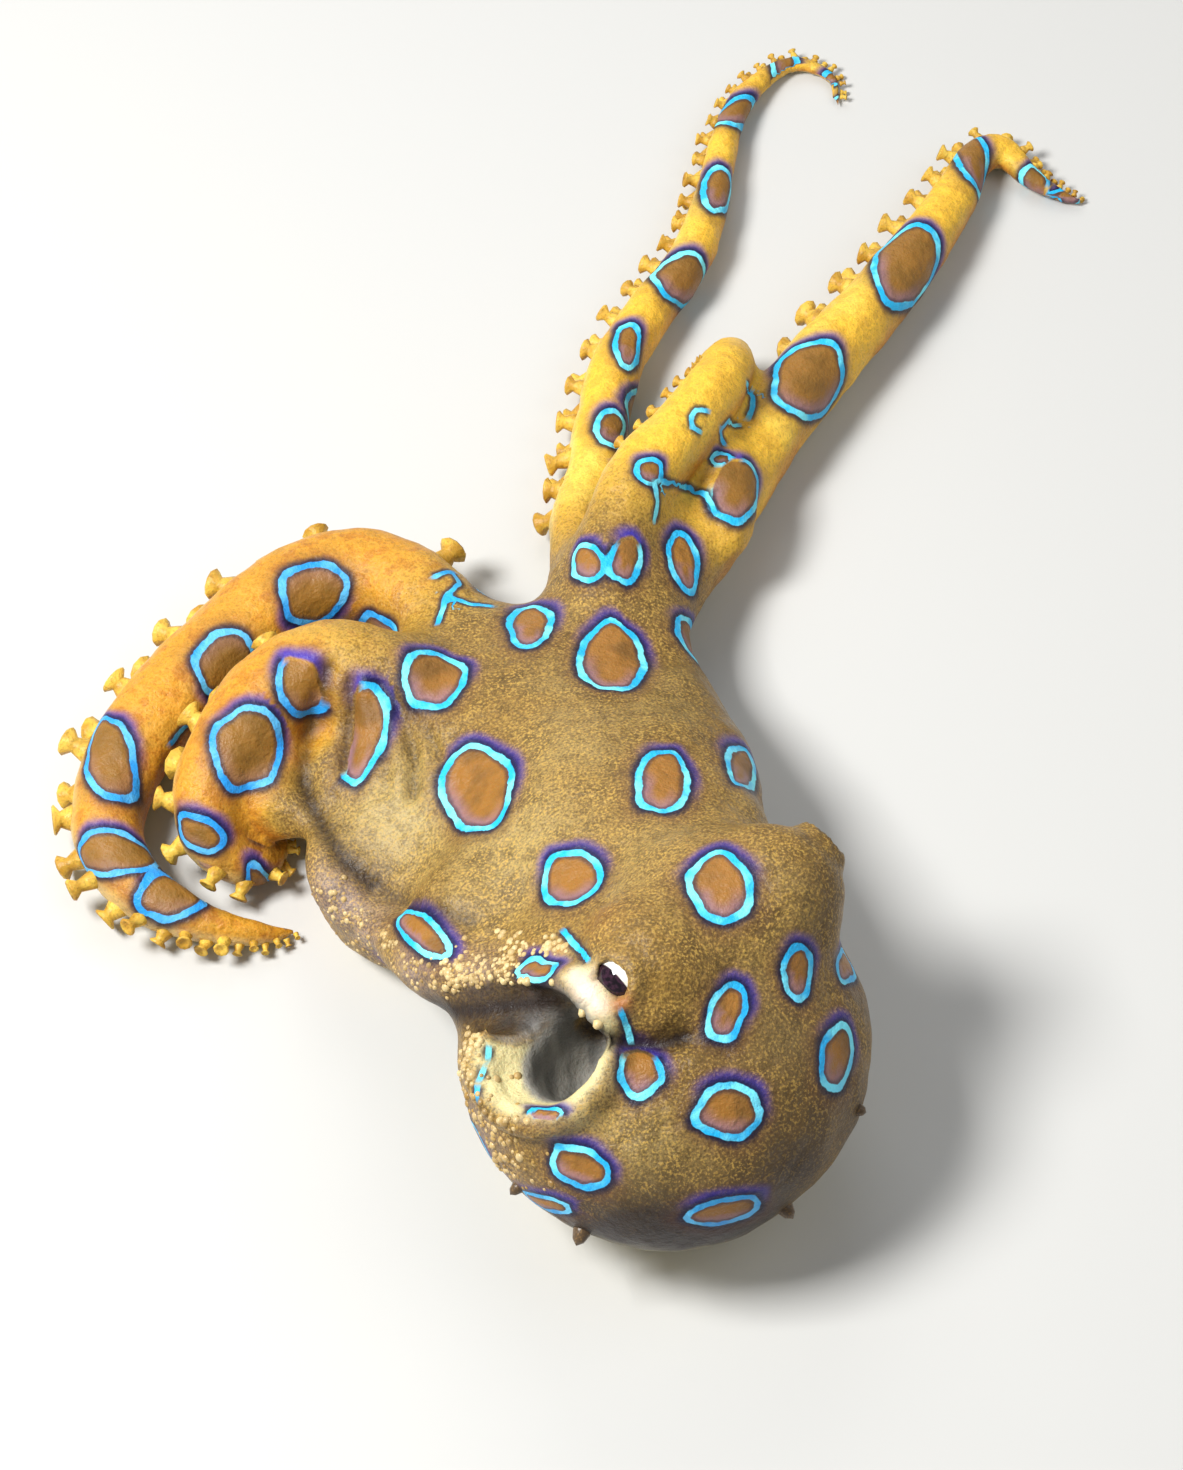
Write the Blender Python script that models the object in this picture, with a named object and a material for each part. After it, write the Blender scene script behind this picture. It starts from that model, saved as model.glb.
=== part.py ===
"""Blue ringed octopus, a still life-size model crawling on a floor.

The animal rests on the underside of its mantle and on its arms. World X runs to
the animal's right as the viewer sees it, Y runs along the body from the mantle to
the arms, and Z is up. The origin is the centre of the flat under the mantle.
Sizes below are in millimetres and become metres when a mesh is made.
"""

import math

import bmesh
import bpy
import numpy as np
from mathutils import Matrix, Vector

MM = 0.001
GAP = 0.3  # clear space between two neighbouring parts

# Mantle, the egg-shaped body sack
MANTLE_CENTRE = Vector((-0.3, 0.6, 11.4))
MANTLE_HALF = Vector((15.9, 15.5, 11.9))
MANTLE_YAW = 11.0  # degrees, turned toward the right side
MANTLE_TIP_DIRECTION = Vector((0.05, -0.98, -0.20)).normalized()
MANTLE_TIP_SWELL = 0.05

# Head with its two eye mounds, turned to the left of the mantle
HEAD_CENTRE = Vector((3.6, 6.4, 17.4))
HEAD_HALF = Vector((9.3, 8.6, 8.6))
MOUND_RADIUS = 5.9
LEFT_MOUND = Vector((-1.4, 1.4, 21.0))
RIGHT_MOUND = Vector((7.6, 8.2, 20.6))
NECK_CENTRE = Vector((-3.6, 19.0, 12.9))
NECK_HALF = Vector((11.4, 6.7, 18.5))
NECK_DIRECTION = Vector((-0.36, 0.88, -0.30)).normalized()

# Eyes
EYE_RADIUS = 2.5
EYE_DEPTH = 3.6
LEFT_EYE_DIRECTION = Vector((-0.52, -0.56, 0.64)).normalized()
RIGHT_EYE_DIRECTION = Vector((0.70, 0.66, 0.24)).normalized()
LID_HEIGHT = 5.4
LID_RING_RADIUS = 2.0
LID_THICKNESS = 0.75

# Opening of the mantle beside the left eye, and the breathing funnel
OPENING_DIRECTION = Vector((-0.42, -0.26, 0.87)).normalized()
OPENING_MOUTH = Vector((-8.0, -5.0, 20.4))
OPENING_CENTRE = OPENING_MOUTH - OPENING_DIRECTION * 2.0
OPENING_HALF = Vector((3.4, 3.9, 6.6))
GAPE_CENTRE = Vector((-14.6, 0.8, 17.2))  # the opening runs out to the left of the head
GAPE_HALF = Vector((1.8, 1.8, 8.6))
GAPE_DIRECTION = Vector((-0.79, 0.30, -0.53)).normalized()
LIP_RADIUS = 4.4
LIP_THICKNESS = 1.0
FUNNEL_ROOT = Vector((-7.0, 6.0, 5.0))
FUNNEL_END = Vector((-14.6, 8.2, 3.4))
FUNNEL_RADII = (2.6, 1.5)

# Crown, the web that joins the roots of the eight arms like a skirt
CROWN_CENTRE = Vector((-10.5, 28.5, 0.0))
CROWN_REACH = {  # reach of the skirt by compass angle, degrees from +X
    -150: 17.5,
    -110: 17.0,
    -60: 18.0,
    -15: 17.0,
    25: 18.0,
    60: 20.0,
    85: 17.5,
    112: 18.0,
    140: 18.0,
    172: 18.5,
}
CROWN_TOP = 14.5
CROWN_EDGE = 7.4
CROWN_UNDERSIDE = 5.4
CROWN_DOME = 1.6  # how full the dome is: higher is flatter on top
CROWN_EDGE_SHARES = (0.985, 0.96, 0.5)  # reach of the rounded edge and of the underside
CROWN_TURNS = 48
CROWN_RINGS = 7

# Parting planes between mantle, head and crown: a point and the side facing the arms
NECK_PLANE = (Vector((-0.4, -3.8, 19.0)), Vector((-0.31, 0.58, 0.75)).normalized())
BROW_PLANE = (Vector((-2.0, 17.0, 17.0)), Vector((-0.30, 0.62, -0.72)).normalized())

ROOT_OVERRUN = 0.4  # how far an arm's root runs on before it is trimmed
CLEARANCE_REACH = 14.0  # stretch of each free arm that the crown keeps clear of

# Fineness of the trunk
TRUNK_VOXEL = 0.7
FORM_SMOOTHING = 16
TRUNK_SMOOTHING = 4
TRUNK_TRIANGLES = 3200

# Arms: centre line from root to tip, root radius, fullness of the taper, roll of
# the sucker side from straight down, stretch that belongs to the crown, lengths
ARM_TIP_RADIUS = 0.5
ARM_TIP_LENGTH = 1.3  # length of the rounded end, in radii of the tip
ARM_TIP_LOWEST = 0.2
ARM_SIDES = 8
ARM_STEP = 1.8
ARMS = {
    "right_1": {
        "route": [(-7.6, 40, 7.2), (-7.2, 54, 4.2), (-5.5, 62.7, 3.1), (-5, 67.5, 2.8),
                  (-3.5, 75, 2.7), (-0.6, 81.3, 2.6), (2.6, 86.7, 2.5), (4.7, 93, 2.2),
                  (5.8, 99.5, 1.9), (7.4, 106.3, 1.6), (9.9, 110.7, 1.2),
                  (13.2, 113.3, 0.9), (16.5, 111.9, 0.6), (17.1, 108.3, 0.5)],
        "radius": 2.7, "fullness": 2.2, "roll": -74, "stub": 17, "lengths": 4},
    "right_2": {
        "route": [(-5.1, 42, 8), (-4.4, 49.5, 9.4), (-2, 55.8, 10), (1.9, 61.6, 10.1),
                  (5, 67.3, 9.2), (6.1, 71.6, 7), (6, 74.2, 4.2), (4.4, 74.6, 1.9),
                  (2.9, 71.5, 1.4), (1.7, 68, 1.1), (0.5, 64.3, 0.9), (-0.9, 61, 0.6)],
        "radius": 3.4, "fullness": 1.9, "roll": -70, "stub": 14.5, "lengths": 3},
    "right_3": {
        "route": [(-2, 41, 7.4), (2.2, 51.6, 4.6), (5.7, 60, 3.8), (9.4, 66.8, 3.7),
                  (13.5, 73.3, 3.7), (18.1, 79.8, 3.5), (22.6, 86.7, 3.1), (26.6, 94, 2.5),
                  (29.5, 100.3, 1.9), (31.7, 101.7, 1.6), (34.3, 98.5, 1.3),
                  (36.9, 96.8, 0.9), (39.2, 95.9, 0.5)],
        "radius": 3.5, "fullness": 3.2, "roll": -74, "stub": 14, "lengths": 4,
        "first_sucker": 39},
    "right_4": {
        "route": [(0, 19, 7), (2.6, 24, 4), (2.4, 29.5, 2.5), (0.2, 34.2, 2.2),
                  (-4, 37, 2), (-8.5, 37.2, 1.9), (-12, 34.3, 1.7), (-11.5, 30.4, 1.3),
                  (-8, 29.5, 1), (-5.8, 32, 0.6)],
        "radius": 2.8, "fullness": 2.0, "roll": -50, "stub": 9, "lengths": 3},
    "left_1": {
        "route": [(-12, 36, 7.4), (-18.6, 45.6, 5.2), (-24.2, 50.4, 4.3), (-30.0, 49.2, 4.2),
                  (-34.6, 44.9, 4.1), (-38.6, 40.3, 4.0), (-42.0, 35.6, 3.9),
                  (-44.3, 30.6, 3.7), (-44.8, 26.0, 3.5), (-43.4, 21.8, 3.2),
                  (-40.4, 19.0, 2.7), (-37.0, 17.6, 2.2), (-33.8, 17.0, 1.6),
                  (-31.1, 17.1, 1.0), (-29.3, 17.9, 0.5)],
        "radius": 4.2, "fullness": 3.6, "roll": 74, "stub": 14, "lengths": 4},
    "left_2": {
        "route": [(-19, 34, 9.4), (-25.4, 37.0, 9.2), (-30.6, 35.6, 8.6), (-34.2, 31.2, 7.9),
                  (-36.2, 27.4, 6.9), (-36.4, 24.5, 5.4), (-35.0, 22.9, 3.8),
                  (-32.6, 22.9, 2.4), (-31.2, 25.0, 1.4), (-31.4, 27.8, 0.7)],
        "radius": 4.8, "fullness": 2.0, "roll": 68, "stub": 9.5, "lengths": 3},
    "left_3": {
        "route": [(-18, 29.5, 7.5), (-24, 30, 4.4), (-26, 32.4, 2.8), (-22.6, 34.4, 2.1),
                  (-18.2, 33.2, 1.8), (-16, 30, 1.4), (-17.8, 27.9, 1), (-20.2, 29.4, 0.6)],
        "radius": 2.6, "fullness": 1.7, "roll": -50, "stub": 6.5, "lengths": 2},
    "left_4": {
        "route": [(-5, 13, 8.4), (-12.4, 11.2, 7), (-18.8, 13.4, 5.2), (-23.6, 16.6, 3.7),
                  (-25.6, 21, 2.6), (-22.9, 24.4, 2.2), (-18.4, 24.2, 2),
                  (-14.5, 21.5, 1.8), (-10, 20.6, 1.5), (-7, 22.8, 1.2),
                  (-8.6, 25.4, 0.9), (-11.6, 25, 0.6)],
        "radius": 3.2, "fullness": 1.5, "roll": 30, "stub": 14, "lengths": 3},
}

# Free edge of the web, rolled up between the left eye and the left arms
EDGE_ROLL = {
    "route": [(-2.5, 1.2, 20.4), (-6.2, 0.0, 19.7), (-9.8, 1.6, 17.7), (-14.0, 3.6, 14.9),
              (-18.2, 7.2, 11.7), (-22.0, 11.6, 8.9), (-25.2, 16.6, 7.0)],
    "radius": 2.5, "fullness": 6.0, "roll": 0, "stub": 0, "lengths": 1}

# Suckers: small cups on stalks, in two alternating rows along every arm
SUCKER_SIDES = 5
SUCKER_SPACING = 1.0  # distance between suckers, in radii of the arm where they grow
SUCKER_SIZE = 0.40  # radius of the rim, in radii of the arm
SUCKER_HEIGHT = 0.56  # height above the skin, in radii of the arm
SUCKER_CLOSEST = 1.2
SUCKER_SMALLEST = 0.30
SUCKER_WIDEST = 1.35  # radius of the largest rim, in mm
SUCKER_TALLEST = 1.55
SUCKER_ROW_ANGLE = 13.0
SUCKER_TIP_ROLL = 88.0  # side on which the suckers of a tip sit, degrees from straight down
SUCKER_SINK = 0.45  # depth of the root under the skin, in radii of the arm
SUCKER_SINK_RADIUS = 1.6  # the thickest arm, in mm, for which the root still goes deeper
SUCKER_ROOT = 0.85  # width of the root, as a share of the rim
SUCKER_WAIST = (0.55, 0.62)  # height and width of the narrow stalk, as shares
SUCKER_CUP = 0.68  # height of the bottom of the cup, as a share
SUCKER_MARGIN = 0.25  # distance from a rim to the end of its length of arm
SUCKER_LOWEST = 0.05  # height that every sucker keeps above the floor

# Colours of the parts, linear RGB
SKIN_GOLD = (0.33, 0.19, 0.05)
SKIN_ORANGE = (0.52, 0.27, 0.04)
SKIN_PALE = (0.62, 0.52, 0.34)
EYE_DARK = (0.03, 0.02, 0.05)
SKIN_ROUGHNESS = 0.45
EYE_ROUGHNESS = 0.08
CREASE_ANGLE = 50.0  # an edge sharper than this, in degrees, is shaded as a crease


def clear_scene():
    """Start from an empty scene."""
    for obj in list(bpy.data.objects):
        bpy.data.objects.remove(obj, do_unlink=True)


def material(name, colour, roughness):
    """One plain surface finish."""
    mat = bpy.data.materials.new(name)
    mat.use_nodes = True
    shader = mat.node_tree.nodes["Principled BSDF"]
    shader.inputs["Base Color"].default_value = (*colour, 1.0)
    shader.inputs["Roughness"].default_value = roughness
    shader.inputs["Metallic"].default_value = 0.0
    return mat


def mesh_object(name, vertices, faces):
    """A mesh object from points in millimetres, with its faces turned outward."""
    mesh = bpy.data.meshes.new(name)
    mesh.from_pydata([tuple(Vector(v) * MM) for v in vertices], [], faces)
    work = bmesh.new()
    work.from_mesh(mesh)
    bmesh.ops.recalc_face_normals(work, faces=work.faces)
    work.to_mesh(mesh)
    work.free()
    obj = bpy.data.objects.new(name, mesh)
    bpy.context.scene.collection.objects.link(obj)
    return obj


def ball(name, centre, half, direction=Vector((0, 0, 1)), turns=32, rings=20):
    """An ellipsoid whose third half size points along a direction."""
    work = bmesh.new()
    bmesh.ops.create_uvsphere(work, u_segments=turns, v_segments=rings, radius=1.0)
    turn = direction.to_track_quat("Z", "Y").to_matrix()
    for vertex in work.verts:
        local = Vector(a * b for a, b in zip(vertex.co, half))
        vertex.co = (centre + turn @ local) * MM
    mesh = bpy.data.meshes.new(name)
    work.to_mesh(mesh)
    work.free()
    obj = bpy.data.objects.new(name, mesh)
    bpy.context.scene.collection.objects.link(obj)
    return obj


def torus(name, centre, direction, radius, thickness):
    """A ring of flesh, such as a lid or a lip."""
    bpy.ops.mesh.primitive_torus_add(
        major_radius=radius * MM,
        minor_radius=thickness * MM,
        major_segments=28,
        minor_segments=10,
    )
    obj = bpy.context.object
    obj.name = name
    turn = direction.to_track_quat("Z", "Y").to_matrix().to_4x4()
    obj.data.transform(Matrix.Translation(centre * MM) @ turn)
    return obj


def apply_modifiers(obj):
    """Make what the modifiers show the object's own mesh."""
    graph = bpy.context.evaluated_depsgraph_get()
    mesh = bpy.data.meshes.new_from_object(obj.evaluated_get(graph))
    obj.modifiers.clear()
    obj.data = mesh


def remove(objects):
    """Take helper objects out of the scene."""
    for obj in objects:
        bpy.data.objects.remove(obj, do_unlink=True)


def unite(obj, pieces):
    """Fuse closed pieces with an object by one Boolean union."""
    group = bpy.data.collections.new("pieces")
    bpy.context.scene.collection.children.link(group)
    for piece in pieces:
        group.objects.link(piece)
    union = obj.modifiers.new("union", "BOOLEAN")
    union.operation = "UNION"
    union.operand_type = "COLLECTION"
    union.collection = group
    apply_modifiers(obj)
    remove(pieces)
    bpy.data.collections.remove(group)


def cut(obj, cutter, keep=False):
    """Take the space of a cutter away from an object, or keep only that space."""
    boolean = obj.modifiers.new("cut", "BOOLEAN")
    boolean.operation = "INTERSECT" if keep else "DIFFERENCE"
    boolean.object = cutter
    apply_modifiers(obj)
    remove([cutter])


def largest_surface(obj):
    """Keep the largest closed surface of an object and drop loose scraps."""
    work = bmesh.new()
    work.from_mesh(obj.data)
    waiting = set(work.verts)
    best = []
    while waiting:
        seed = waiting.pop()
        island = [seed]
        for vertex in island:
            for edge in vertex.link_edges:
                other = edge.other_vert(vertex)
                if other in waiting:
                    waiting.remove(other)
                    island.append(other)
        if len(island) > len(best):
            best = island
    kept = set(best)
    bmesh.ops.delete(work, geom=[v for v in work.verts if v not in kept], context="VERTS")
    work.to_mesh(obj.data)
    work.free()


def half_space(plane, side, size=160.0):
    """A large block on one side of a parting plane, half a gap away from it."""
    point, normal = plane
    work = bmesh.new()
    bmesh.ops.create_cube(work, size=size * MM)
    offset = side * (size + GAP) / 2
    turn = normal.to_track_quat("Z", "Y").to_matrix().to_4x4()
    work.transform(Matrix.Translation((point + normal * offset) * MM) @ turn)
    mesh = bpy.data.meshes.new("half_space")
    work.to_mesh(mesh)
    work.free()
    obj = bpy.data.objects.new("half_space", mesh)
    bpy.context.scene.collection.objects.link(obj)
    return obj


def copy_of(obj, name):
    """An independent copy of an object."""
    twin = bpy.data.objects.new(name, obj.data.copy())
    bpy.context.scene.collection.objects.link(twin)
    return twin


def finish_node(obj, name, mat):
    """Name a node, give it its material and shade it smooth."""
    obj.name = name
    obj.data.name = name
    obj.data.materials.clear()
    obj.data.materials.append(mat)
    obj.data.shade_smooth()
    obj.data.set_sharp_from_angle(angle=math.radians(CREASE_ANGLE))


def catmull_rom(points, count=14):
    """Even, smooth samples of the curve through a route's points."""
    given = np.array(points, float)
    ends = np.vstack([2 * given[0] - given[1], given, 2 * given[-1] - given[-2]])
    samples = []
    for k in range(1, len(ends) - 2):
        p0, p1, p2, p3 = ends[k - 1:k + 3]
        d1 = max(np.linalg.norm(p1 - p0), 1e-6) ** 0.5
        d2 = max(np.linalg.norm(p2 - p1), 1e-6) ** 0.5
        d3 = max(np.linalg.norm(p3 - p2), 1e-6) ** 0.5
        m1 = d2 * ((p1 - p0) / d1 - (p2 - p0) / (d1 + d2)) + (p2 - p1)
        m2 = d2 * ((p3 - p2) / d3 - (p3 - p1) / (d2 + d3)) + (p2 - p1)
        for u in np.arange(count) / count:
            samples.append(
                (2 * u**3 - 3 * u**2 + 1) * p1 + (u**3 - 2 * u**2 + u) * m1
                + (3 * u**2 - 2 * u**3) * p2 + (u**3 - u**2) * m2)
    samples.append(given[-1])
    return np.array(samples)


class Arm:
    """The centre line, thickness and sucker side of one arm."""

    def __init__(self, settings):
        self.line = catmull_rom(settings["route"])
        steps = np.linalg.norm(np.diff(self.line, axis=0), axis=1)
        self.along = np.concatenate([[0.0], np.cumsum(steps)])
        self.length = self.along[-1]
        self.root_radius = settings["radius"]
        self.fullness = settings["fullness"]
        self.roll = settings["roll"]
        self.stub = settings["stub"]
        self.lengths = settings["lengths"]
        self.first_sucker = settings.get("first_sucker", self.stub + self.root_radius / 2)

    def centre(self, s):
        """Point of the centre line at a distance from the root."""
        return np.array([np.interp(s, self.along, self.line[:, k]) for k in range(3)])

    def radius(self, s):
        """Thickness, full near the root and tapering to the tip."""
        t = min(max(s / self.length, 0.0), 1.0)
        return ARM_TIP_RADIUS + (self.root_radius - ARM_TIP_RADIUS) * (1 - t**self.fullness)

    def frame(self, s):
        """Tangent, right-hand side and upward normal."""
        tangent = self.centre(min(s + 0.6, self.length)) - self.centre(max(s - 0.6, 0.0))
        tangent /= np.linalg.norm(tangent)
        side = np.cross(tangent, [0.0, 0.0, 1.0])
        side /= np.linalg.norm(side)
        return tangent, side, np.cross(side, tangent)

    def skin_direction(self, s, angle):
        """Direction out of the arm, turned by an angle from straight down."""
        _, side, normal = self.frame(s)
        turn = math.radians(angle)
        return math.sin(turn) * side - math.cos(turn) * normal


def arm_tube(name, arm, start, end, rounded_tip=False, extra=0.0):
    """A closed tube along a stretch of an arm, flat where it meets its neighbour."""
    count = max(2, round((end - start) / ARM_STEP))
    vertices = []
    for s in np.linspace(start, end, count + 1):
        centre = arm.centre(s)
        radius = arm.radius(s) + extra
        for k in range(ARM_SIDES):
            angle = 360.0 * (k + 0.5) / ARM_SIDES
            point = centre + radius * arm.skin_direction(s, angle)
            vertices.append((point[0], point[1], max(point[2], -extra)))
    faces = [list(range(ARM_SIDES))]
    for ring in range(count):
        for k in range(ARM_SIDES):
            near, far = ring * ARM_SIDES, (ring + 1) * ARM_SIDES
            step = (k + 1) % ARM_SIDES
            faces.append([near + k, near + step, far + step, far + k])
    last = count * ARM_SIDES
    if rounded_tip:
        tangent = arm.frame(end)[0]
        point = arm.centre(end) + tangent * arm.radius(end) * ARM_TIP_LENGTH
        vertices.append((point[0], point[1], max(point[2], ARM_TIP_LOWEST)))
        top = len(vertices) - 1
        faces += [[last + k, last + (k + 1) % ARM_SIDES, top] for k in range(ARM_SIDES)]
    else:
        faces.append([last + k for k in reversed(range(ARM_SIDES))])
    return mesh_object(name, vertices, faces)


def sucker_places(arm):
    """Distances from the root at which suckers grow, closer together toward the tip."""
    places = []
    s = arm.first_sucker
    while s < arm.length - 0.6:
        places.append(s)
        s += SUCKER_SPACING * max(arm.radius(s), SUCKER_CLOSEST)
    return places


def sucker_angle(arm, s, row):
    """Angle of a sucker round the arm: two rows, turned flatter near the tip."""
    t = s / arm.length
    roll = abs(arm.roll) + (SUCKER_TIP_ROLL - abs(arm.roll)) * t**2
    roll = math.copysign(roll, arm.roll)
    return roll + row * SUCKER_ROW_ANGLE


def sucker_rim(radius):
    """Radius of a sucker's rim on an arm of a given thickness."""
    return min(max(SUCKER_SIZE * radius, SUCKER_SMALLEST), SUCKER_WIDEST)


def sucker(arm, s, row):
    """One sucker: a sunk root, a narrow stalk, a wide rim and a hollow cup."""
    radius = arm.radius(s)
    rim = sucker_rim(radius)
    height = min(max(SUCKER_HEIGHT * radius, SUCKER_SMALLEST), SUCKER_TALLEST)
    out = arm.skin_direction(s, sucker_angle(arm, s, row))
    tangent = arm.frame(s)[0]
    across = np.cross(out, tangent)
    profile = [
        (radius - SUCKER_SINK * min(radius, SUCKER_SINK_RADIUS), rim * SUCKER_ROOT),
        (radius + height * SUCKER_WAIST[0], rim * SUCKER_WAIST[1]),
        (radius + height, rim),
    ]
    vertices = []
    for reach, wide in profile:
        for k in range(SUCKER_SIDES):
            turn = 2 * math.pi * k / SUCKER_SIDES
            ring = math.cos(turn) * tangent + math.sin(turn) * across
            vertices.append(arm.centre(s) + reach * out + wide * ring)
    vertices.append(arm.centre(s) + (radius + height * SUCKER_CUP) * out)
    faces = [list(range(SUCKER_SIDES))]
    for level in range(len(profile) - 1):
        for k in range(SUCKER_SIDES):
            near, far = level * SUCKER_SIDES, (level + 1) * SUCKER_SIDES
            step = (k + 1) % SUCKER_SIDES
            faces.append([near + k, near + step, far + step, far + k])
    last = (len(profile) - 1) * SUCKER_SIDES
    cup = len(vertices) - 1
    faces += [[last + k, last + (k + 1) % SUCKER_SIDES, cup] for k in range(SUCKER_SIDES)]
    lowest = min(v[2] for v in vertices)
    if lowest < SUCKER_LOWEST:
        vertices = [v + np.array([0.0, 0.0, SUCKER_LOWEST - lowest]) for v in vertices]
    return mesh_object("sucker", vertices, faces)


def make_arm(name, settings, mat):
    """All free lengths of one arm, each with its suckers."""
    arm = Arm(settings)
    bounds = np.linspace(arm.stub, arm.length, arm.lengths + 1)
    places = list(enumerate(sucker_places(arm)))
    for index in range(arm.lengths):
        start = bounds[index] + GAP
        last = index == arm.lengths - 1
        tip = arm.radius(arm.length) * ARM_TIP_LENGTH if last else 0.0
        end = bounds[index + 1] - tip
        node = arm_tube("tube", arm, start, end, rounded_tip=last)
        cups = []
        for number, s in places:
            if not bounds[index] <= s < bounds[index + 1]:
                continue
            wide = sucker_rim(arm.radius(s)) + SUCKER_MARGIN
            inside = min(max(s, start + wide), end if last else end - wide)
            cups.append(sucker(arm, inside, 1 if number % 2 else -1))
        if cups:
            unite(node, cups)
            largest_surface(node)
        finish_node(node, f"arm_{name}_{index + 1}", mat)


def mantle_form():
    """The mantle as an egg with a slightly drawn-out tip, turned a little."""
    form = ball("mantle_form", MANTLE_CENTRE, MANTLE_HALF, turns=48, rings=32)
    yaw = Matrix.Rotation(math.radians(MANTLE_YAW), 3, "Z")
    for vertex in form.data.vertices:
        local = yaw @ (vertex.co / MM - MANTLE_CENTRE)
        toward_tip = max(local.normalized().dot(MANTLE_TIP_DIRECTION), 0.0)
        vertex.co = (MANTLE_CENTRE + local * (1 + MANTLE_TIP_SWELL * toward_tip**6)) * MM
    return form


def crown_reach(angle):
    """Reach of the skirt in a direction, blended smoothly between its named reaches."""
    named = sorted(CROWN_REACH)
    for k, low in enumerate(named):
        high = named[(k + 1) % len(named)]
        span = (high - low) % 360
        into = (angle - low) % 360
        if into < span:
            blend = (1 - math.cos(math.pi * into / span)) / 2
            return CROWN_REACH[low] * (1 - blend) + CROWN_REACH[high] * blend
    return CROWN_REACH[named[0]]


def crown_form():
    """The web: a low dome with a rounded edge and a flat underside."""
    vertices = []
    for ring in range(1, CROWN_RINGS + 1):
        share = ring / CROWN_RINGS
        height = CROWN_EDGE + (CROWN_TOP - CROWN_EDGE) * (1 - share**CROWN_DOME)
        for k in range(CROWN_TURNS):
            angle = 360.0 * k / CROWN_TURNS
            reach = crown_reach(angle) * min(share, CROWN_EDGE_SHARES[0])
            turn = math.radians(angle)
            vertices.append(CROWN_CENTRE + Vector(
                (reach * math.cos(turn), reach * math.sin(turn), height)))
    for share in CROWN_EDGE_SHARES[1:]:
        for k in range(CROWN_TURNS):
            angle = 360.0 * k / CROWN_TURNS
            reach = crown_reach(angle) * share
            turn = math.radians(angle)
            vertices.append(CROWN_CENTRE + Vector(
                (reach * math.cos(turn), reach * math.sin(turn), CROWN_UNDERSIDE)))
    rings = CROWN_RINGS + 2
    faces = []
    for ring in range(rings - 1):
        for k in range(CROWN_TURNS):
            near, far = ring * CROWN_TURNS, (ring + 1) * CROWN_TURNS
            step = (k + 1) % CROWN_TURNS
            faces.append([near + k, near + step, far + step, far + k])
    vertices.append(CROWN_CENTRE + Vector((0, 0, CROWN_TOP)))
    top = len(vertices) - 1
    vertices.append(CROWN_CENTRE + Vector((0, 0, CROWN_UNDERSIDE)))
    under = len(vertices) - 1
    inner = (rings - 1) * CROWN_TURNS
    for k in range(CROWN_TURNS):
        step = (k + 1) % CROWN_TURNS
        faces.append([k, step, top])
        faces.append([inner + k, inner + step, under])
    return mesh_object("crown_form", vertices, faces)


def blend(body, smoothing):
    """Remesh an object evenly and smooth its joins."""
    remesh = body.modifiers.new("blend", "REMESH")
    remesh.mode = "VOXEL"
    remesh.voxel_size = TRUNK_VOXEL * MM
    smooth = body.modifiers.new("smooth", "SMOOTH")
    smooth.iterations = smoothing
    apply_modifiers(body)


def trunk():
    """Mantle, head and crown with the arm roots, blended into one smooth body."""
    body = mantle_form()
    pieces = [
        ball("head_form", HEAD_CENTRE, HEAD_HALF),
        ball("left_mound", LEFT_MOUND, Vector([MOUND_RADIUS] * 3)),
        ball("right_mound", RIGHT_MOUND, Vector([MOUND_RADIUS] * 3)),
        ball("neck_form", NECK_CENTRE, NECK_HALF, NECK_DIRECTION),
        crown_form(),
    ]
    arms = [Arm(settings) for settings in ARMS.values()]
    pieces += [arm_tube("root", arm, 0.0, arm.stub + ROOT_OVERRUN) for arm in arms]
    roll = Arm(EDGE_ROLL)
    pieces.append(arm_tube("edge_roll", roll, 0.0, roll.length))
    unite(body, pieces)
    blend(body, FORM_SMOOTHING)
    rims = [
        torus("lid", mound + direction * LID_HEIGHT, direction, LID_RING_RADIUS, LID_THICKNESS)
        for mound, direction in (
            (LEFT_MOUND, LEFT_EYE_DIRECTION), (RIGHT_MOUND, RIGHT_EYE_DIRECTION))
    ]
    rims.append(torus("lip", OPENING_MOUTH, OPENING_DIRECTION, LIP_RADIUS, LIP_THICKNESS))
    unite(body, rims)
    blend(body, TRUNK_SMOOTHING)
    for vertex in body.data.vertices:
        vertex.co.z = max(vertex.co.z, 0.0)
    decimate = body.modifiers.new("fewer", "DECIMATE")
    decimate.ratio = TRUNK_TRIANGLES / (2 * len(body.data.polygons))
    apply_modifiers(body)
    for arm in arms:
        cut(body, arm_tube("clearance", arm, arm.stub, arm.stub + CLEARANCE_REACH, extra=GAP))
    for hollow in (
            (OPENING_CENTRE, OPENING_HALF, OPENING_DIRECTION),
            (GAPE_CENTRE, GAPE_HALF, GAPE_DIRECTION)):
        cut(body, ball("hollow", *hollow, 18, 10))
    return body


def eye_centre(mound, direction):
    """Centre of an eyeball, sunk in its mound."""
    return mound + direction * EYE_DEPTH


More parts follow.
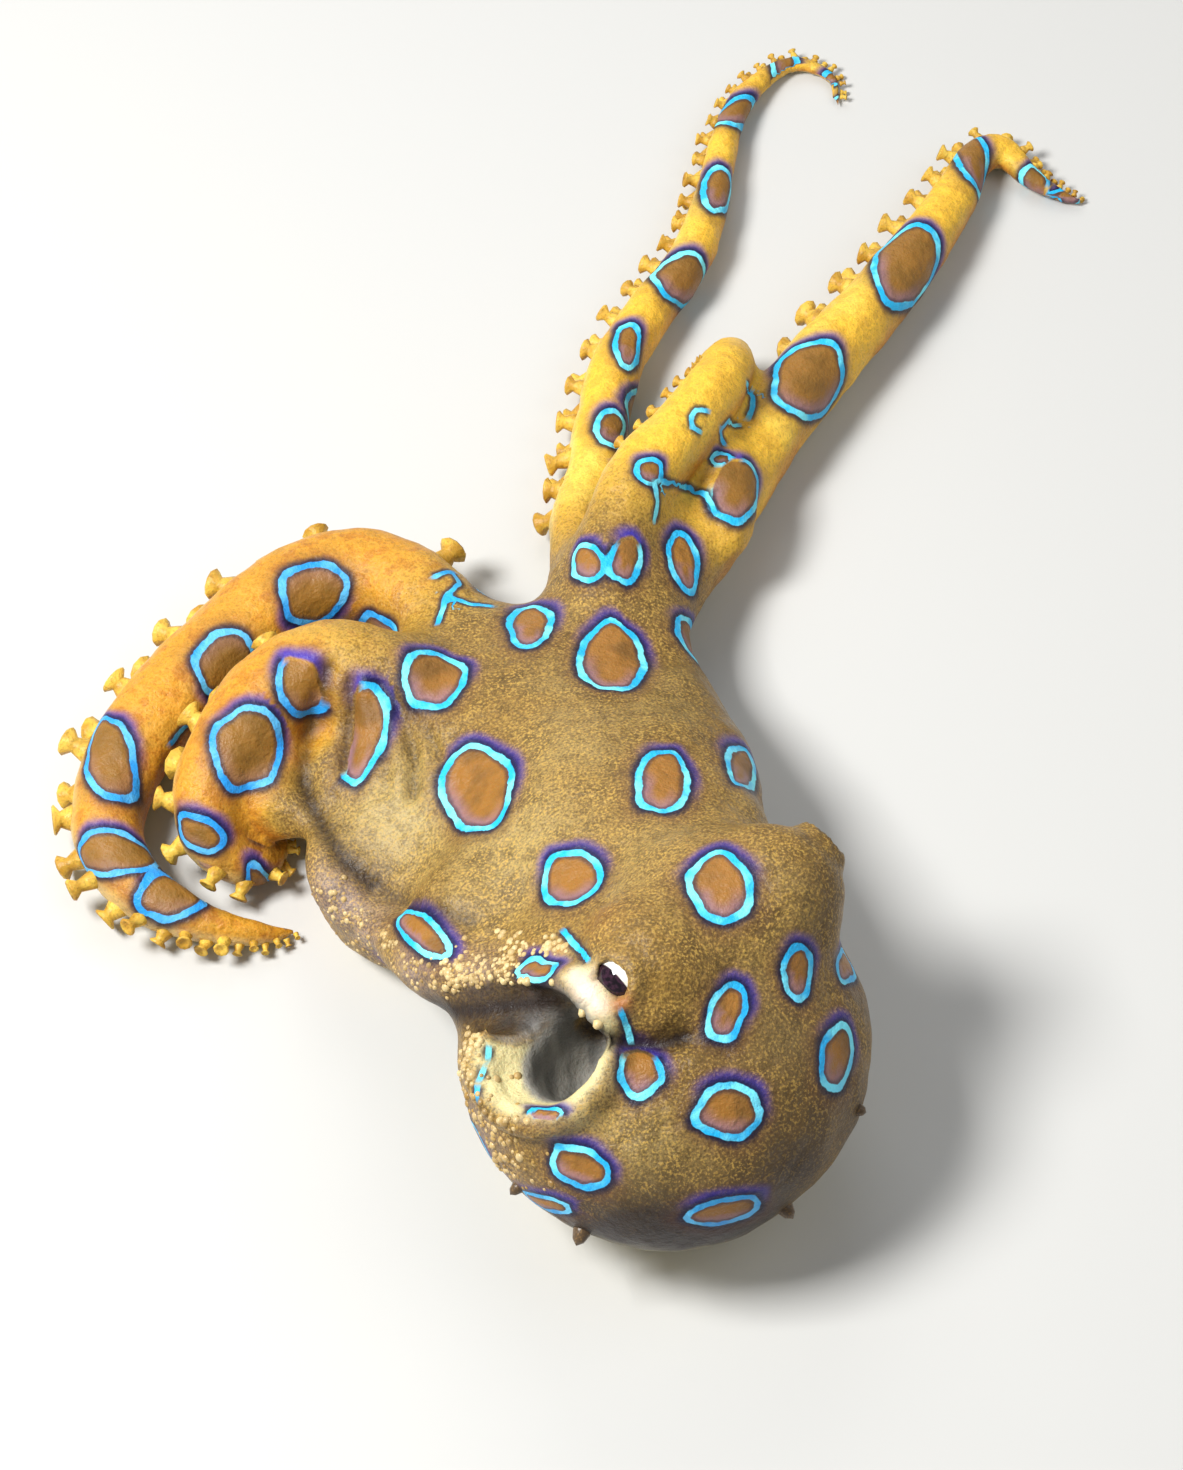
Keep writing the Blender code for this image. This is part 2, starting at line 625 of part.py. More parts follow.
def funnel_form(extra):
    """The tapered breathing tube, thickened by a given margin."""
    axis = (FUNNEL_END - FUNNEL_ROOT).normalized()
    length = (FUNNEL_END - FUNNEL_ROOT).length
    work = bmesh.new()
    bmesh.ops.create_cone(
        work, cap_ends=True, segments=18, radius1=(FUNNEL_RADII[0] + extra) * MM,
        radius2=(FUNNEL_RADII[1] + extra) * MM, depth=(length + 2 * extra) * MM)
    turn = axis.to_track_quat("Z", "Y").to_matrix().to_4x4()
    middle = (FUNNEL_ROOT + FUNNEL_END) / 2
    work.transform(Matrix.Translation(middle * MM) @ turn)
    mesh = bpy.data.meshes.new("funnel_form")
    work.to_mesh(mesh)
    work.free()
    obj = bpy.data.objects.new("funnel_form", mesh)
    bpy.context.scene.collection.objects.link(obj)
    return obj


def make_body(gold, pale, dark):
    """The trunk parted into mantle, head and crown, with eyes and funnel."""
    whole = trunk()
    eyes = {
        "eye_left": eye_centre(LEFT_MOUND, LEFT_EYE_DIRECTION),
        "eye_right": eye_centre(RIGHT_MOUND, RIGHT_EYE_DIRECTION),
    }
    for centre in eyes.values():
        cut(whole, ball("socket", centre, Vector([EYE_RADIUS + GAP] * 3), turns=16, rings=10))
    cut(whole, funnel_form(GAP))
    mantle = copy_of(whole, "mantle")
    cut(mantle, half_space(NECK_PLANE, -1), keep=True)
    cut(whole, half_space(NECK_PLANE, 1), keep=True)
    head = copy_of(whole, "head")
    cut(head, half_space(BROW_PLANE, -1), keep=True)
    cut(whole, half_space(BROW_PLANE, 1), keep=True)
    for obj, name in ((mantle, "mantle"), (head, "head"), (whole, "crown_web")):
        largest_surface(obj)
        finish_node(obj, name, gold)
    for name, centre in eyes.items():
        eye = ball(name, centre, Vector([EYE_RADIUS] * 3), turns=16, rings=10)
        finish_node(eye, name, dark)
    finish_node(funnel_form(0.0), "funnel", pale)


def main():
    clear_scene()
    gold = material("skin_gold", SKIN_GOLD, SKIN_ROUGHNESS)
    orange = material("skin_orange", SKIN_ORANGE, SKIN_ROUGHNESS)
    pale = material("skin_pale", SKIN_PALE, SKIN_ROUGHNESS)
    dark = material("eye_dark", EYE_DARK, EYE_ROUGHNESS)
    make_body(gold, pale, dark)
    for name, settings in ARMS.items():
        make_arm(name, settings, orange)


main()
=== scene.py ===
"""Blue ringed octopus, life size, crawling on a floor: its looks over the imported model.

Sizes are in millimetres and become metres when a mesh is made. X is the animal's
right, Y runs from the mantle to the arms, Z is up, and the floor is at Z = 0.
"""

import math

import bpy
import numpy as np
from mathutils import Matrix, Vector, noise
from mathutils.bvhtree import BVHTree


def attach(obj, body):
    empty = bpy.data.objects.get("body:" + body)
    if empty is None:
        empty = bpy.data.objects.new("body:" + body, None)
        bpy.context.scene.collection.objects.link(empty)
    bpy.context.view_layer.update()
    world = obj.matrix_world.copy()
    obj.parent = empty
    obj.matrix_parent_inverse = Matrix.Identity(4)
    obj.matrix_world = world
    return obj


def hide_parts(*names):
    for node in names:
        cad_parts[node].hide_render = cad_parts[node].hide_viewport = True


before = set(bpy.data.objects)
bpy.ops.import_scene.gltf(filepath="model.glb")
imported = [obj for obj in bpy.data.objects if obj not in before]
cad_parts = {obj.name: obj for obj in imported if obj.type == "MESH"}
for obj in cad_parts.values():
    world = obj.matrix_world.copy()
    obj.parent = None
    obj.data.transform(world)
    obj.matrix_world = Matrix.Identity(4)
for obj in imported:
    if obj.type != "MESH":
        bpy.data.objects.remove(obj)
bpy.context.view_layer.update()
bpy.ops.object.select_all(action="DESELECT")


# Mantle, head and neck
# The mantle is the egg-shaped muscle sack of the body. The head with its two raised
# eye mounds sits on its front, and a broad neck runs from it to the arms. Here they
# are balls pushed into each other, and the skin section fuses them.
MM = 0.001
MANTLE_CENTRE = Vector((-0.3, 0.6, 11.4))
MANTLE_HALF = Vector((15.9, 15.5, 11.9))
MANTLE_YAW = 11.0
MANTLE_TIP_DIRECTION = Vector((0.05, -0.98, -0.20)).normalized()
MANTLE_TIP_SWELL = 0.05
HEAD_CENTRE = Vector((3.6, 6.4, 17.4))
HEAD_HALF = Vector((9.3, 8.6, 8.6))
MOUND_RADIUS = 5.9
LEFT_MOUND = Vector((-1.4, 1.4, 21.0))
RIGHT_MOUND = Vector((7.6, 8.2, 20.6))
NECK_CENTRE = Vector((-3.6, 19.0, 12.9))
NECK_HALF = Vector((11.4, 6.7, 18.5))
NECK_DIRECTION = Vector((-0.36, 0.88, -0.30)).normalized()
Z_AXIS = Vector((0, 0, 1))


def ball(name, centre, half, direction=Z_AXIS, turns=64, rings=40):
    """An ellipsoid whose third half size points along a direction."""
    bpy.ops.mesh.primitive_uv_sphere_add(segments=turns, ring_count=rings, radius=1.0)
    obj = bpy.context.object
    obj.name = name
    turn = direction.to_track_quat("Z", "Y").to_matrix().to_4x4()
    shape = Matrix.Diagonal((*(Vector(half) * MM), 1.0))
    obj.data.transform(Matrix.Translation(centre * MM) @ turn @ shape)
    return obj


mantle_form = ball("mantle_form", MANTLE_CENTRE, MANTLE_HALF)
yaw = Matrix.Rotation(math.radians(MANTLE_YAW), 3, "Z")
for vertex in mantle_form.data.vertices:
    local = yaw @ (vertex.co / MM - MANTLE_CENTRE)
    toward_tip = max(local.normalized().dot(MANTLE_TIP_DIRECTION), 0.0)
    vertex.co = (MANTLE_CENTRE + local * (1 + MANTLE_TIP_SWELL * toward_tip**6)) * MM

body_forms = [
    mantle_form,
    ball("head_form", HEAD_CENTRE, HEAD_HALF),
    ball("left_mound", LEFT_MOUND, [MOUND_RADIUS] * 3),
    ball("right_mound", RIGHT_MOUND, [MOUND_RADIUS] * 3),
    ball("neck_form", NECK_CENTRE, NECK_HALF, NECK_DIRECTION),
]


# Arm crown
# The web is a thin muscular skirt that joins the roots of the eight arms. It is a
# low dome with a rounded edge, further out between some arms than between others.
CROWN_CENTRE = Vector((-10.5, 28.5, 0.0))
CROWN_REACH = {  # reach of the skirt by compass angle, degrees from +X
    -150: 17.5,
    -110: 17.0,
    -60: 18.0,
    -15: 17.0,
    25: 18.0,
    60: 20.0,
    85: 17.5,
    112: 18.0,
    140: 18.0,
    172: 18.5,
}
CROWN_TOP = 14.5
CROWN_EDGE = 7.4
CROWN_UNDERSIDE = 5.4
CROWN_DOME = 1.6
CROWN_EDGE_SHARES = (0.985, 0.96, 0.5)
CROWN_TURNS = 96
CROWN_RINGS = 14


def crown_reach(angle):
    """Reach of the skirt in a direction, blended between its named reaches."""
    named = sorted(CROWN_REACH)
    for k, low in enumerate(named):
        high = named[(k + 1) % len(named)]
        span = (high - low) % 360
        into = (angle - low) % 360
        if into < span:
            share = (1 - math.cos(math.pi * into / span)) / 2
            return CROWN_REACH[low] * (1 - share) + CROWN_REACH[high] * share
    return CROWN_REACH[named[0]]


def mesh_object(name, points, faces):
    """A mesh object from points in millimetres."""
    mesh = bpy.data.meshes.new(name)
    mesh.from_pydata((np.asarray(points) * MM).tolist(), [], faces)
    obj = bpy.data.objects.new(name, mesh)
    bpy.context.scene.collection.objects.link(obj)
    return obj


def closed_loft(name, loops, first, last):
    """A closed skin over equal loops of points, with a pole point at each end."""
    count = len(loops[0])
    points = [p for loop in loops for p in loop] + [first, last]
    faces = []
    for ring in range(len(loops) - 1):
        for k in range(count):
            near, far = ring * count, (ring + 1) * count
            step = (k + 1) % count
            faces.append([near + k, near + step, far + step, far + k])
    start, end = len(points) - 2, len(points) - 1
    tail = (len(loops) - 1) * count
    for k in range(count):
        faces.append([(k + 1) % count, k, start])
        faces.append([tail + k, tail + (k + 1) % count, end])
    return mesh_object(name, points, faces)


crown_levels = []
for ring in range(1, CROWN_RINGS + 1):
    share = ring / CROWN_RINGS
    height = CROWN_EDGE + (CROWN_TOP - CROWN_EDGE) * (1 - share**CROWN_DOME)
    crown_levels.append((min(share, CROWN_EDGE_SHARES[0]), height))
crown_levels += [(share, CROWN_UNDERSIDE) for share in CROWN_EDGE_SHARES[1:]]
crown_loops = []
for share, height in crown_levels:
    loop = []
    for k in range(CROWN_TURNS):
        angle = 360.0 * k / CROWN_TURNS
        reach = crown_reach(angle) * share
        turn = math.radians(angle)
        loop.append(CROWN_CENTRE + Vector((reach * math.cos(turn), reach * math.sin(turn), height)))
    crown_loops.append(loop)
crown_top = CROWN_CENTRE + CROWN_TOP * Z_AXIS
crown_under = CROWN_CENTRE + CROWN_UNDERSIDE * Z_AXIS
body_forms.append(closed_loft("crown_form", crown_loops, crown_top, crown_under))
WEB_FOLDS = (  # centre and half sizes of the thicker places of the web
    (Vector((-13.5, 11.0, 11.5)), Vector((7.0, 8.0, 5.0))),
    (Vector((0.5, 27.5, 9.0)), Vector((6.0, 10.0, 5.0))),
    (Vector((4.2, 24.0, 10.5)), Vector((4.0, 7.5, 4.5))),
    (Vector((-29.6, 28.2, 6.0)), Vector((4.6, 5.2, 3.2))),
    (Vector((-26.0, 19.5, 7.4)), Vector((3.4, 5.2, 2.8))),
    (Vector((0.3, 54.0, 6.8)), Vector((2.4, 6.5, 2.4))),
    (Vector((5.4, 58.5, 6.0)), Vector((3.0, 7.5, 2.6))),
)
body_forms += [ball("web_fold", centre, half) for centre, half in WEB_FOLDS]


# Arms
# Eight boneless arms of solid muscle, round in section and tapering to thin tips.
# Each lies along its own curled path on the floor, with its sucker side rolled
# toward one flank, and the four that the web hides are curled flat under it.
ARM_TIP_RADIUS = 0.5
ARM_SIDES = 24
ARM_STEP = 0.5
ARMS = {
    "right_1": {
        "route": [(-7.6, 40, 7.2), (-7.2, 54, 4.2), (-5.5, 62.7, 3.1), (-5, 67.5, 2.8),
                  (-3.5, 75, 2.7), (-0.6, 81.3, 2.6), (2.6, 86.7, 2.5), (4.7, 93, 2.2),
                  (5.8, 99.5, 1.9), (7.4, 106.3, 1.6), (9.9, 110.7, 1.2),
                  (13.2, 113.3, 0.9), (16.5, 111.9, 0.6), (17.1, 108.3, 0.5)],
        "radius": 2.7, "fullness": 2.2, "roll": -74, "stub": 17},
    "right_2": {
        "route": [(-5.1, 42, 8), (-4.4, 49.5, 9.4), (-2, 55.8, 10), (1.9, 61.6, 10.1),
                  (5, 67.3, 9.2), (6.1, 71.6, 7), (6, 74.2, 4.2), (4.4, 74.6, 1.9),
                  (2.9, 71.5, 1.4), (1.7, 68, 1.1), (0.5, 64.3, 0.9), (-0.9, 61, 0.6)],
        "radius": 3.4, "fullness": 1.9, "roll": -70, "stub": 14.5, "sucker_size": 0.5},
    "right_3": {
        "route": [(-2, 41, 7.4), (2.2, 51.6, 4.6), (5.7, 60, 3.8), (9.4, 66.8, 3.7),
                  (13.5, 73.3, 3.7), (18.1, 79.8, 3.5), (22.6, 86.7, 3.1), (26.6, 94, 2.5),
                  (29.5, 100.3, 1.9), (31.7, 101.7, 1.6), (34.3, 98.5, 1.3),
                  (36.9, 96.8, 0.9), (39.2, 95.9, 0.5)],
        "radius": 3.5, "fullness": 3.2, "roll": -74, "stub": 14, "first_sucker": 39},
    "right_4": {
        "route": [(0, 19, 7), (2.6, 24, 4), (2.4, 29.5, 2.5), (0.2, 34.2, 2.2),
                  (-4, 37, 2), (-8.5, 37.2, 1.9), (-12, 34.3, 1.7), (-11.5, 30.4, 1.3),
                  (-8, 29.5, 1), (-5.8, 32, 0.6)],
        "radius": 2.8, "fullness": 2.0, "roll": -50, "stub": 9},
    "left_1": {
        "route": [(-12, 36, 7.4), (-18.6, 45.6, 5.2), (-24.2, 50.4, 4.3), (-30.0, 49.2, 4.2),
                  (-34.6, 44.9, 4.1), (-38.6, 40.3, 4.0), (-42.0, 35.6, 3.9),
                  (-44.3, 30.6, 3.7), (-44.8, 26.0, 3.5), (-43.4, 21.8, 3.2),
                  (-40.4, 19.0, 2.7), (-37.0, 17.6, 2.2), (-33.8, 17.0, 1.6),
                  (-31.1, 17.1, 1.0), (-29.3, 17.9, 0.5)],
        "radius": 4.2, "fullness": 3.6, "roll": 74, "stub": 14},
    "left_2": {
        "route": [(-19, 34, 9.4), (-25.4, 37.0, 9.2), (-30.6, 35.6, 8.6), (-34.2, 31.2, 7.9),
                  (-36.2, 27.4, 6.9), (-36.4, 24.5, 5.4), (-35.0, 22.9, 3.8),
                  (-32.6, 22.9, 2.4), (-31.2, 25.0, 1.4), (-31.4, 27.8, 0.7)],
        "radius": 4.8, "fullness": 2.0, "roll": 68, "stub": 9.5},
    "left_3": {
        "route": [(-18, 29.5, 7.5), (-24, 30, 4.4), (-26, 32.4, 2.8), (-22.6, 34.4, 2.1),
                  (-18.2, 33.2, 1.8), (-16, 30, 1.4), (-17.8, 27.9, 1), (-20.2, 29.4, 0.6)],
        "radius": 2.6, "fullness": 1.7, "roll": -50, "stub": 6.5},
    "left_4": {
        "route": [(-5, 13, 8.4), (-12.4, 11.2, 7), (-18.8, 13.4, 5.2), (-23.6, 16.6, 3.7),
                  (-25.6, 21, 2.6), (-22.9, 24.4, 2.2), (-18.4, 24.2, 2),
                  (-14.5, 21.5, 1.8), (-10, 20.6, 1.5), (-7, 22.8, 1.2),
                  (-8.6, 25.4, 0.9), (-11.6, 25, 0.6)],
        "radius": 3.2, "fullness": 1.5, "roll": 30, "stub": 14},
}


def smooth_route(points, count=14):
    """Samples of the smooth curve through a route's points."""
    given = np.array(points, float)
    ends = np.vstack([2 * given[0] - given[1], given, 2 * given[-1] - given[-2]])
    samples = []
    for k in range(1, len(ends) - 2):
        p0, p1, p2, p3 = ends[k - 1:k + 3]
        d1, d2, d3 = (np.linalg.norm(b - a) ** 0.5 for a, b in ((p0, p1), (p1, p2), (p2, p3)))
        m1 = d2 * ((p1 - p0) / d1 - (p2 - p0) / (d1 + d2)) + (p2 - p1)
        m2 = d2 * ((p3 - p2) / d3 - (p3 - p1) / (d2 + d3)) + (p2 - p1)
        for u in np.arange(count) / count:
            samples.append(
                (2 * u**3 - 3 * u**2 + 1) * p1 + (u**3 - 2 * u**2 + u) * m1
                + (3 * u**2 - 2 * u**3) * p2 + (u**3 - u**2) * m2)
    samples.append(given[-1])
    return np.array(samples)


class Arm:
    """The centre line, thickness and sucker side of one arm."""

    def __init__(self, settings):
        self.line = smooth_route(settings["route"])
        steps = np.linalg.norm(np.diff(self.line, axis=0), axis=1)
        self.along = np.concatenate([[0.0], np.cumsum(steps)])
        self.length = self.along[-1]
        self.root_radius = settings["radius"]
        self.fullness = settings["fullness"]
        self.roll = settings["roll"]
        self.stub = settings["stub"]
        self.first_sucker = settings.get("first_sucker", self.stub + self.root_radius / 2)
        self.sucker_size = settings.get("sucker_size", 1.0)

    def centre(self, s):
        """Point of the centre line at a distance from the root."""
        return np.array([np.interp(s, self.along, self.line[:, k]) for k in range(3)])

    def radius(self, s):
        """Thickness, full near the root and tapering to the tip."""
        t = min(max(s / self.length, 0.0), 1.0)
        return ARM_TIP_RADIUS + (self.root_radius - ARM_TIP_RADIUS) * (1 - t**self.fullness)

    def frame(self, s):
        """Tangent, right-hand side and upward normal."""
        tangent = self.centre(min(s + 0.6, self.length)) - self.centre(max(s - 0.6, 0.0))
        tangent /= np.linalg.norm(tangent)
        side = np.cross(tangent, [0.0, 0.0, 1.0])
        side /= np.linalg.norm(side)
        return tangent, side, np.cross(side, tangent)

    def skin_direction(self, s, angle):
        """Direction out of the arm, turned by an angle from straight down."""
        _, side, normal = self.frame(s)
        turn = math.radians(angle)
        return math.sin(turn) * side - math.cos(turn) * normal


def arm_form(name, arm):
    """One arm as a closed tube, rounded at its tip."""
    loops = []
    for s in np.linspace(0.0, arm.length, round(arm.length / ARM_STEP)):
        angles = [360.0 * k / ARM_SIDES for k in range(ARM_SIDES)]
        loops.append([arm.centre(s) + arm.radius(s) * arm.skin_direction(s, a) for a in angles])
    tip = arm.centre(arm.length) + arm.frame(arm.length)[0] * ARM_TIP_RADIUS
    return closed_loft(name, loops, arm.centre(0.0), tip)


arms = {name: Arm(settings) for name, settings in ARMS.items()}
arm_forms = [arm_form(name, arm) for name, arm in arms.items()]
EDGE_ROLL = Arm({
    "route": [(-2.5, 1.2, 20.4), (-6.2, 0.0, 19.7), (-9.8, 1.6, 17.7), (-14.0, 3.6, 14.9),
              (-18.2, 7.2, 11.7), (-22.0, 11.6, 8.9), (-25.2, 16.6, 7.0)],
    "radius": 2.5, "fullness": 6.0, "roll": 0, "stub": 0})
arm_forms.append(arm_form("edge_roll", EDGE_ROLL))


# Skin
# One thin, moist, elastic skin covers mantle, head, web and arms without a seam. It
# is drawn over the forms by remeshing them together, and smoothed where the real
# body is full and soft, but hardly at all on the slender arms.
SKIN_VOXEL = 0.45
SOFTENING = 80
WEB_SOFTENING = 150
WEB_START = (10.0, 17.0)  # Y over which the extra softening of the web sets in
FIRM_LENGTH = 5.0  # stretch over which the softening fades out along a free arm
ARM_SOFTNESS = 0.1
SOFT_STEPS = 10
UNDER_WEB = ("right_4", "left_3", "left_4")

arm_samples = []
for index, arm in enumerate(arms.values()):
    for s in np.arange(0.0, arm.length, 0.4):
        arm_samples.append((index, s, arm.radius(s), *arm.centre(s)))
arm_samples = np.array(arm_samples)


def points_of(obj):
    """The points of a mesh in millimetres."""
    flat = np.empty(len(obj.data.vertices) * 3, np.float32)
    obj.data.vertices.foreach_get("co", flat)
    return flat.reshape(-1, 3).astype(float) / MM


def normals_of(obj):
    """The unit normals at the points of a mesh."""
    flat = np.empty(len(obj.data.vertices) * 3, np.float32)
    obj.data.vertices.foreach_get("normal", flat)
    return flat.reshape(-1, 3).astype(float)


def move_points(obj, points):
    """Put the points of a mesh at new places, never below the floor."""
    points[:, 2] = np.maximum(points[:, 2], 0.0)
    obj.data.vertices.foreach_set("co", (points * MM).astype(np.float32).ravel())
    obj.data.update()


def nearest_arm(points):
    """For each point: the nearest arm, how far along it, and the distance from its skin."""
    best = np.empty((len(points), 3))
    middle = arm_samples[:, 3:6]
    for low in range(0, len(points), 4000):
        part = points[low:low + 4000]
        squared = (part**2).sum(1)[:, None] + (middle**2).sum(1) - 2 * part @ middle.T
        from_skin = np.sqrt(np.maximum(squared, 0.0)) - arm_samples[:, 2]
        pick = from_skin.argmin(1)
        best[low:low + 4000, :2] = arm_samples[pick, :2]
        best[low:low + 4000, 2] = from_skin[np.arange(len(part)), pick]
    return best


def smooth_step(low, high, value):
    """0 below low, 1 above high, and smooth between them."""
    t = np.clip((value - low) / (high - low), 0.0, 1.0)
    return t * t * (3 - 2 * t)


def free_arm(points):
    """How much each point belongs to the free part of an arm, from 0 to 1."""
    index, s, from_skin = nearest_arm(points).T
    stubs = np.array([arm.stub for arm in arms.values()])[index.astype(int)]
    under_web = np.array([name in UNDER_WEB for name in arms])[index.astype(int)]
    low = np.where(under_web, smooth_step(5.6, 4.2, points[:, 2]), 1.0)
    return smooth_step(-FIRM_LENGTH, 0.0, s - stubs) * smooth_step(2.5, 1.0, from_skin) * low


def use_only(obj):
    """Make an object the selected and active one."""
    bpy.ops.object.select_all(action="DESELECT")
    obj.select_set(True)
    bpy.context.view_layer.objects.active = obj


def join(pieces, name):
    """Join objects into one mesh."""
    use_only(pieces[0])
    for piece in pieces:
        piece.select_set(True)
    bpy.ops.object.join()
    bpy.context.object.name = name
    return bpy.context.object


def modify(obj, kind, **settings):
    """Add a modifier with its settings and apply it."""
    use_only(obj)
    modifier = obj.modifiers.new(kind.lower(), kind)
    for key, value in settings.items():
        setattr(modifier, key, value)
    bpy.ops.object.modifier_apply(modifier=modifier.name)


def soften(obj, rounds, softness):
    """Smooth a mesh, each point by its own softness from 0 to 1."""
    group = obj.vertex_groups.new(name="soft")
    level = np.round(softness * SOFT_STEPS).astype(int)
    for step in range(1, SOFT_STEPS + 1):
        group.add(np.nonzero(level == step)[0].tolist(), step / SOFT_STEPS, "REPLACE")
    modify(obj, "SMOOTH", iterations=rounds, vertex_group="soft")
    obj.vertex_groups.clear()


skin = join(body_forms + arm_forms, "skin")
modify(skin, "REMESH", mode="VOXEL", voxel_size=SKIN_VOXEL * MM)
points = points_of(skin)
soften(skin, SOFTENING, 1 - (1 - ARM_SOFTNESS) * free_arm(points))
points = points_of(skin)
soften(skin, WEB_SOFTENING, (1 - free_arm(points)) * smooth_step(*WEB_START, points[:, 1]))


# Eyelids, mantle opening and funnel
# A fleshy lid rings each eye. Left of the left eye the mantle gapes open over its
# cavity, with a thick rolled lip, and the funnel, the soft tube that the animal
# breathes out through, shows its end beside it.
EYE_RADIUS = 2.3
EYE_DEPTH = 3.6
LEFT_EYE_DIRECTION = Vector((-0.52, -0.56, 0.64)).normalized()
RIGHT_EYE_DIRECTION = Vector((0.70, 0.66, 0.24)).normalized()
EYES = ((LEFT_MOUND, LEFT_EYE_DIRECTION), (RIGHT_MOUND, RIGHT_EYE_DIRECTION))
LID_HEIGHT = 5.55
LID_RING_RADIUS = 1.9
LID_THICKNESS = 0.55
OPENING_DIRECTION = Vector((-0.42, -0.26, 0.87)).normalized()
OPENING_MOUTH = Vector((-8.0, -5.0, 20.4))
CAVITY = (OPENING_MOUTH - OPENING_DIRECTION * 2.0, Vector((3.3, 3.8, 6.8)), OPENING_DIRECTION)
LIP_BOWL = (Vector((-9.2, -4.9, 20.6)), Vector((4.3, 4.6, 3.0)), OPENING_DIRECTION)
GAPE = (Vector((-14.9, 0.7, 16.8)), Vector((2.2, 2.2, 9.0)), Vector((-0.79, 0.30, -0.53)).normalized())
LIP_CENTRE = Vector((-9.3, -4.8, 19.6))
LIP_RADIUS = 5.3
LIP_THICKNESS = 1.25
FUNNEL_ROOT = Vector((-7.0, 6.0, 5.0))
FUNNEL_END = Vector((-14.6, 8.2, 3.4))
FUNNEL_RADII = (2.6, 1.5)
FINAL_SOFTENING = 5
LUMPS = ((3.4, 0.20), (1.5, 0.07))  # spacing and height in mm of the soft unevenness


def ring_of_flesh(name, centre, direction, radius, thickness):
    """A rolled rim, such as a lid or a lip."""
    bpy.ops.mesh.primitive_torus_add(
        major_radius=radius * MM, minor_radius=thickness * MM, major_segments=48,
        minor_segments=20)
    obj = bpy.context.object
    obj.name = name
    turn = direction.to_track_quat("Z", "Y").to_matrix().to_4x4()
    obj.data.transform(Matrix.Translation(centre * MM) @ turn)
    return obj


def tube_of_flesh(name, start, end, radii):
    """A tapering solid tube between two points."""
    axis = end - start
    bpy.ops.mesh.primitive_cone_add(
        vertices=32, radius1=radii[0] * MM, radius2=radii[1] * MM, depth=axis.length * MM)
    obj = bpy.context.object
    obj.name = name
    turn = axis.to_track_quat("Z", "Y").to_matrix().to_4x4()
    obj.data.transform(Matrix.Translation((start + end) / 2 * MM) @ turn)
    return obj


rims = [
    ring_of_flesh("lid", mound + way * LID_HEIGHT, way, LID_RING_RADIUS, LID_THICKNESS)
    for mound, way in EYES
]
rims.append(ring_of_flesh("lip", LIP_CENTRE, OPENING_DIRECTION, LIP_RADIUS, LIP_THICKNESS))
rims.append(tube_of_flesh("funnel_form", FUNNEL_ROOT, FUNNEL_END, FUNNEL_RADII))
skin = join([skin] + rims, "skin")
modify(skin, "REMESH", mode="VOXEL", voxel_size=SKIN_VOXEL * MM)
hollows = [ball("hollow", *hollow, 48, 32) for hollow in (CAVITY, LIP_BOWL, GAPE)]
for mound, way in EYES:
    hollows.append(ball("socket", mound + way * EYE_DEPTH, [EYE_RADIUS + 0.05] * 3, way, 48, 32))
for hollow in hollows:
    modify(skin, "BOOLEAN", operation="DIFFERENCE", object=hollow, solver="MANIFOLD")
    bpy.data.objects.remove(hollow, do_unlink=True)
modify(skin, "REMESH", mode="VOXEL", voxel_size=SKIN_VOXEL * MM)
points = points_of(skin)
soften(skin, FINAL_SOFTENING, 1 - (1 - ARM_SOFTNESS) * free_arm(points))
points = points_of(skin)
lift = np.zeros(len(points))
for spacing, height in LUMPS:
    lift += [height * noise.noise(Vector(p) / spacing) for p in points]
lift *= smooth_step(0.2, 2.0, points[:, 2])
move_points(skin, points + normals_of(skin) * lift[:, None])


# Creases and swellings
# Soft flesh folds where it bends: a crease runs under the left eye mound, a pale
# swelling fills the corner below the eye, and the web folds where it turns down to
# the left arms. They are pressed into the skin along lines that the photograph shows.
PHOTO_WIDTH = 1183
PHOTO_HEIGHT = 1470
CAMERA_ELEVATION = math.radians(55.0)
CAMERA_AIM = np.array([-5.8, 30.3, 10.0])
CAMERA_DISTANCE = 326.7
CAMERA_LENS = 100.0
FILM_HEIGHT = 36.0
PIXELS = PHOTO_HEIGHT * CAMERA_LENS / FILM_HEIGHT
LOOK = np.array([0.0, math.cos(CAMERA_ELEVATION), -math.sin(CAMERA_ELEVATION)])
LOOK_UP = np.array([0.0, math.sin(CAMERA_ELEVATION), math.cos(CAMERA_ELEVATION)])
LOOK_RIGHT = np.array([1.0, 0.0, 0.0])
CAMERA_PLACE = CAMERA_AIM - CAMERA_DISTANCE * LOOK
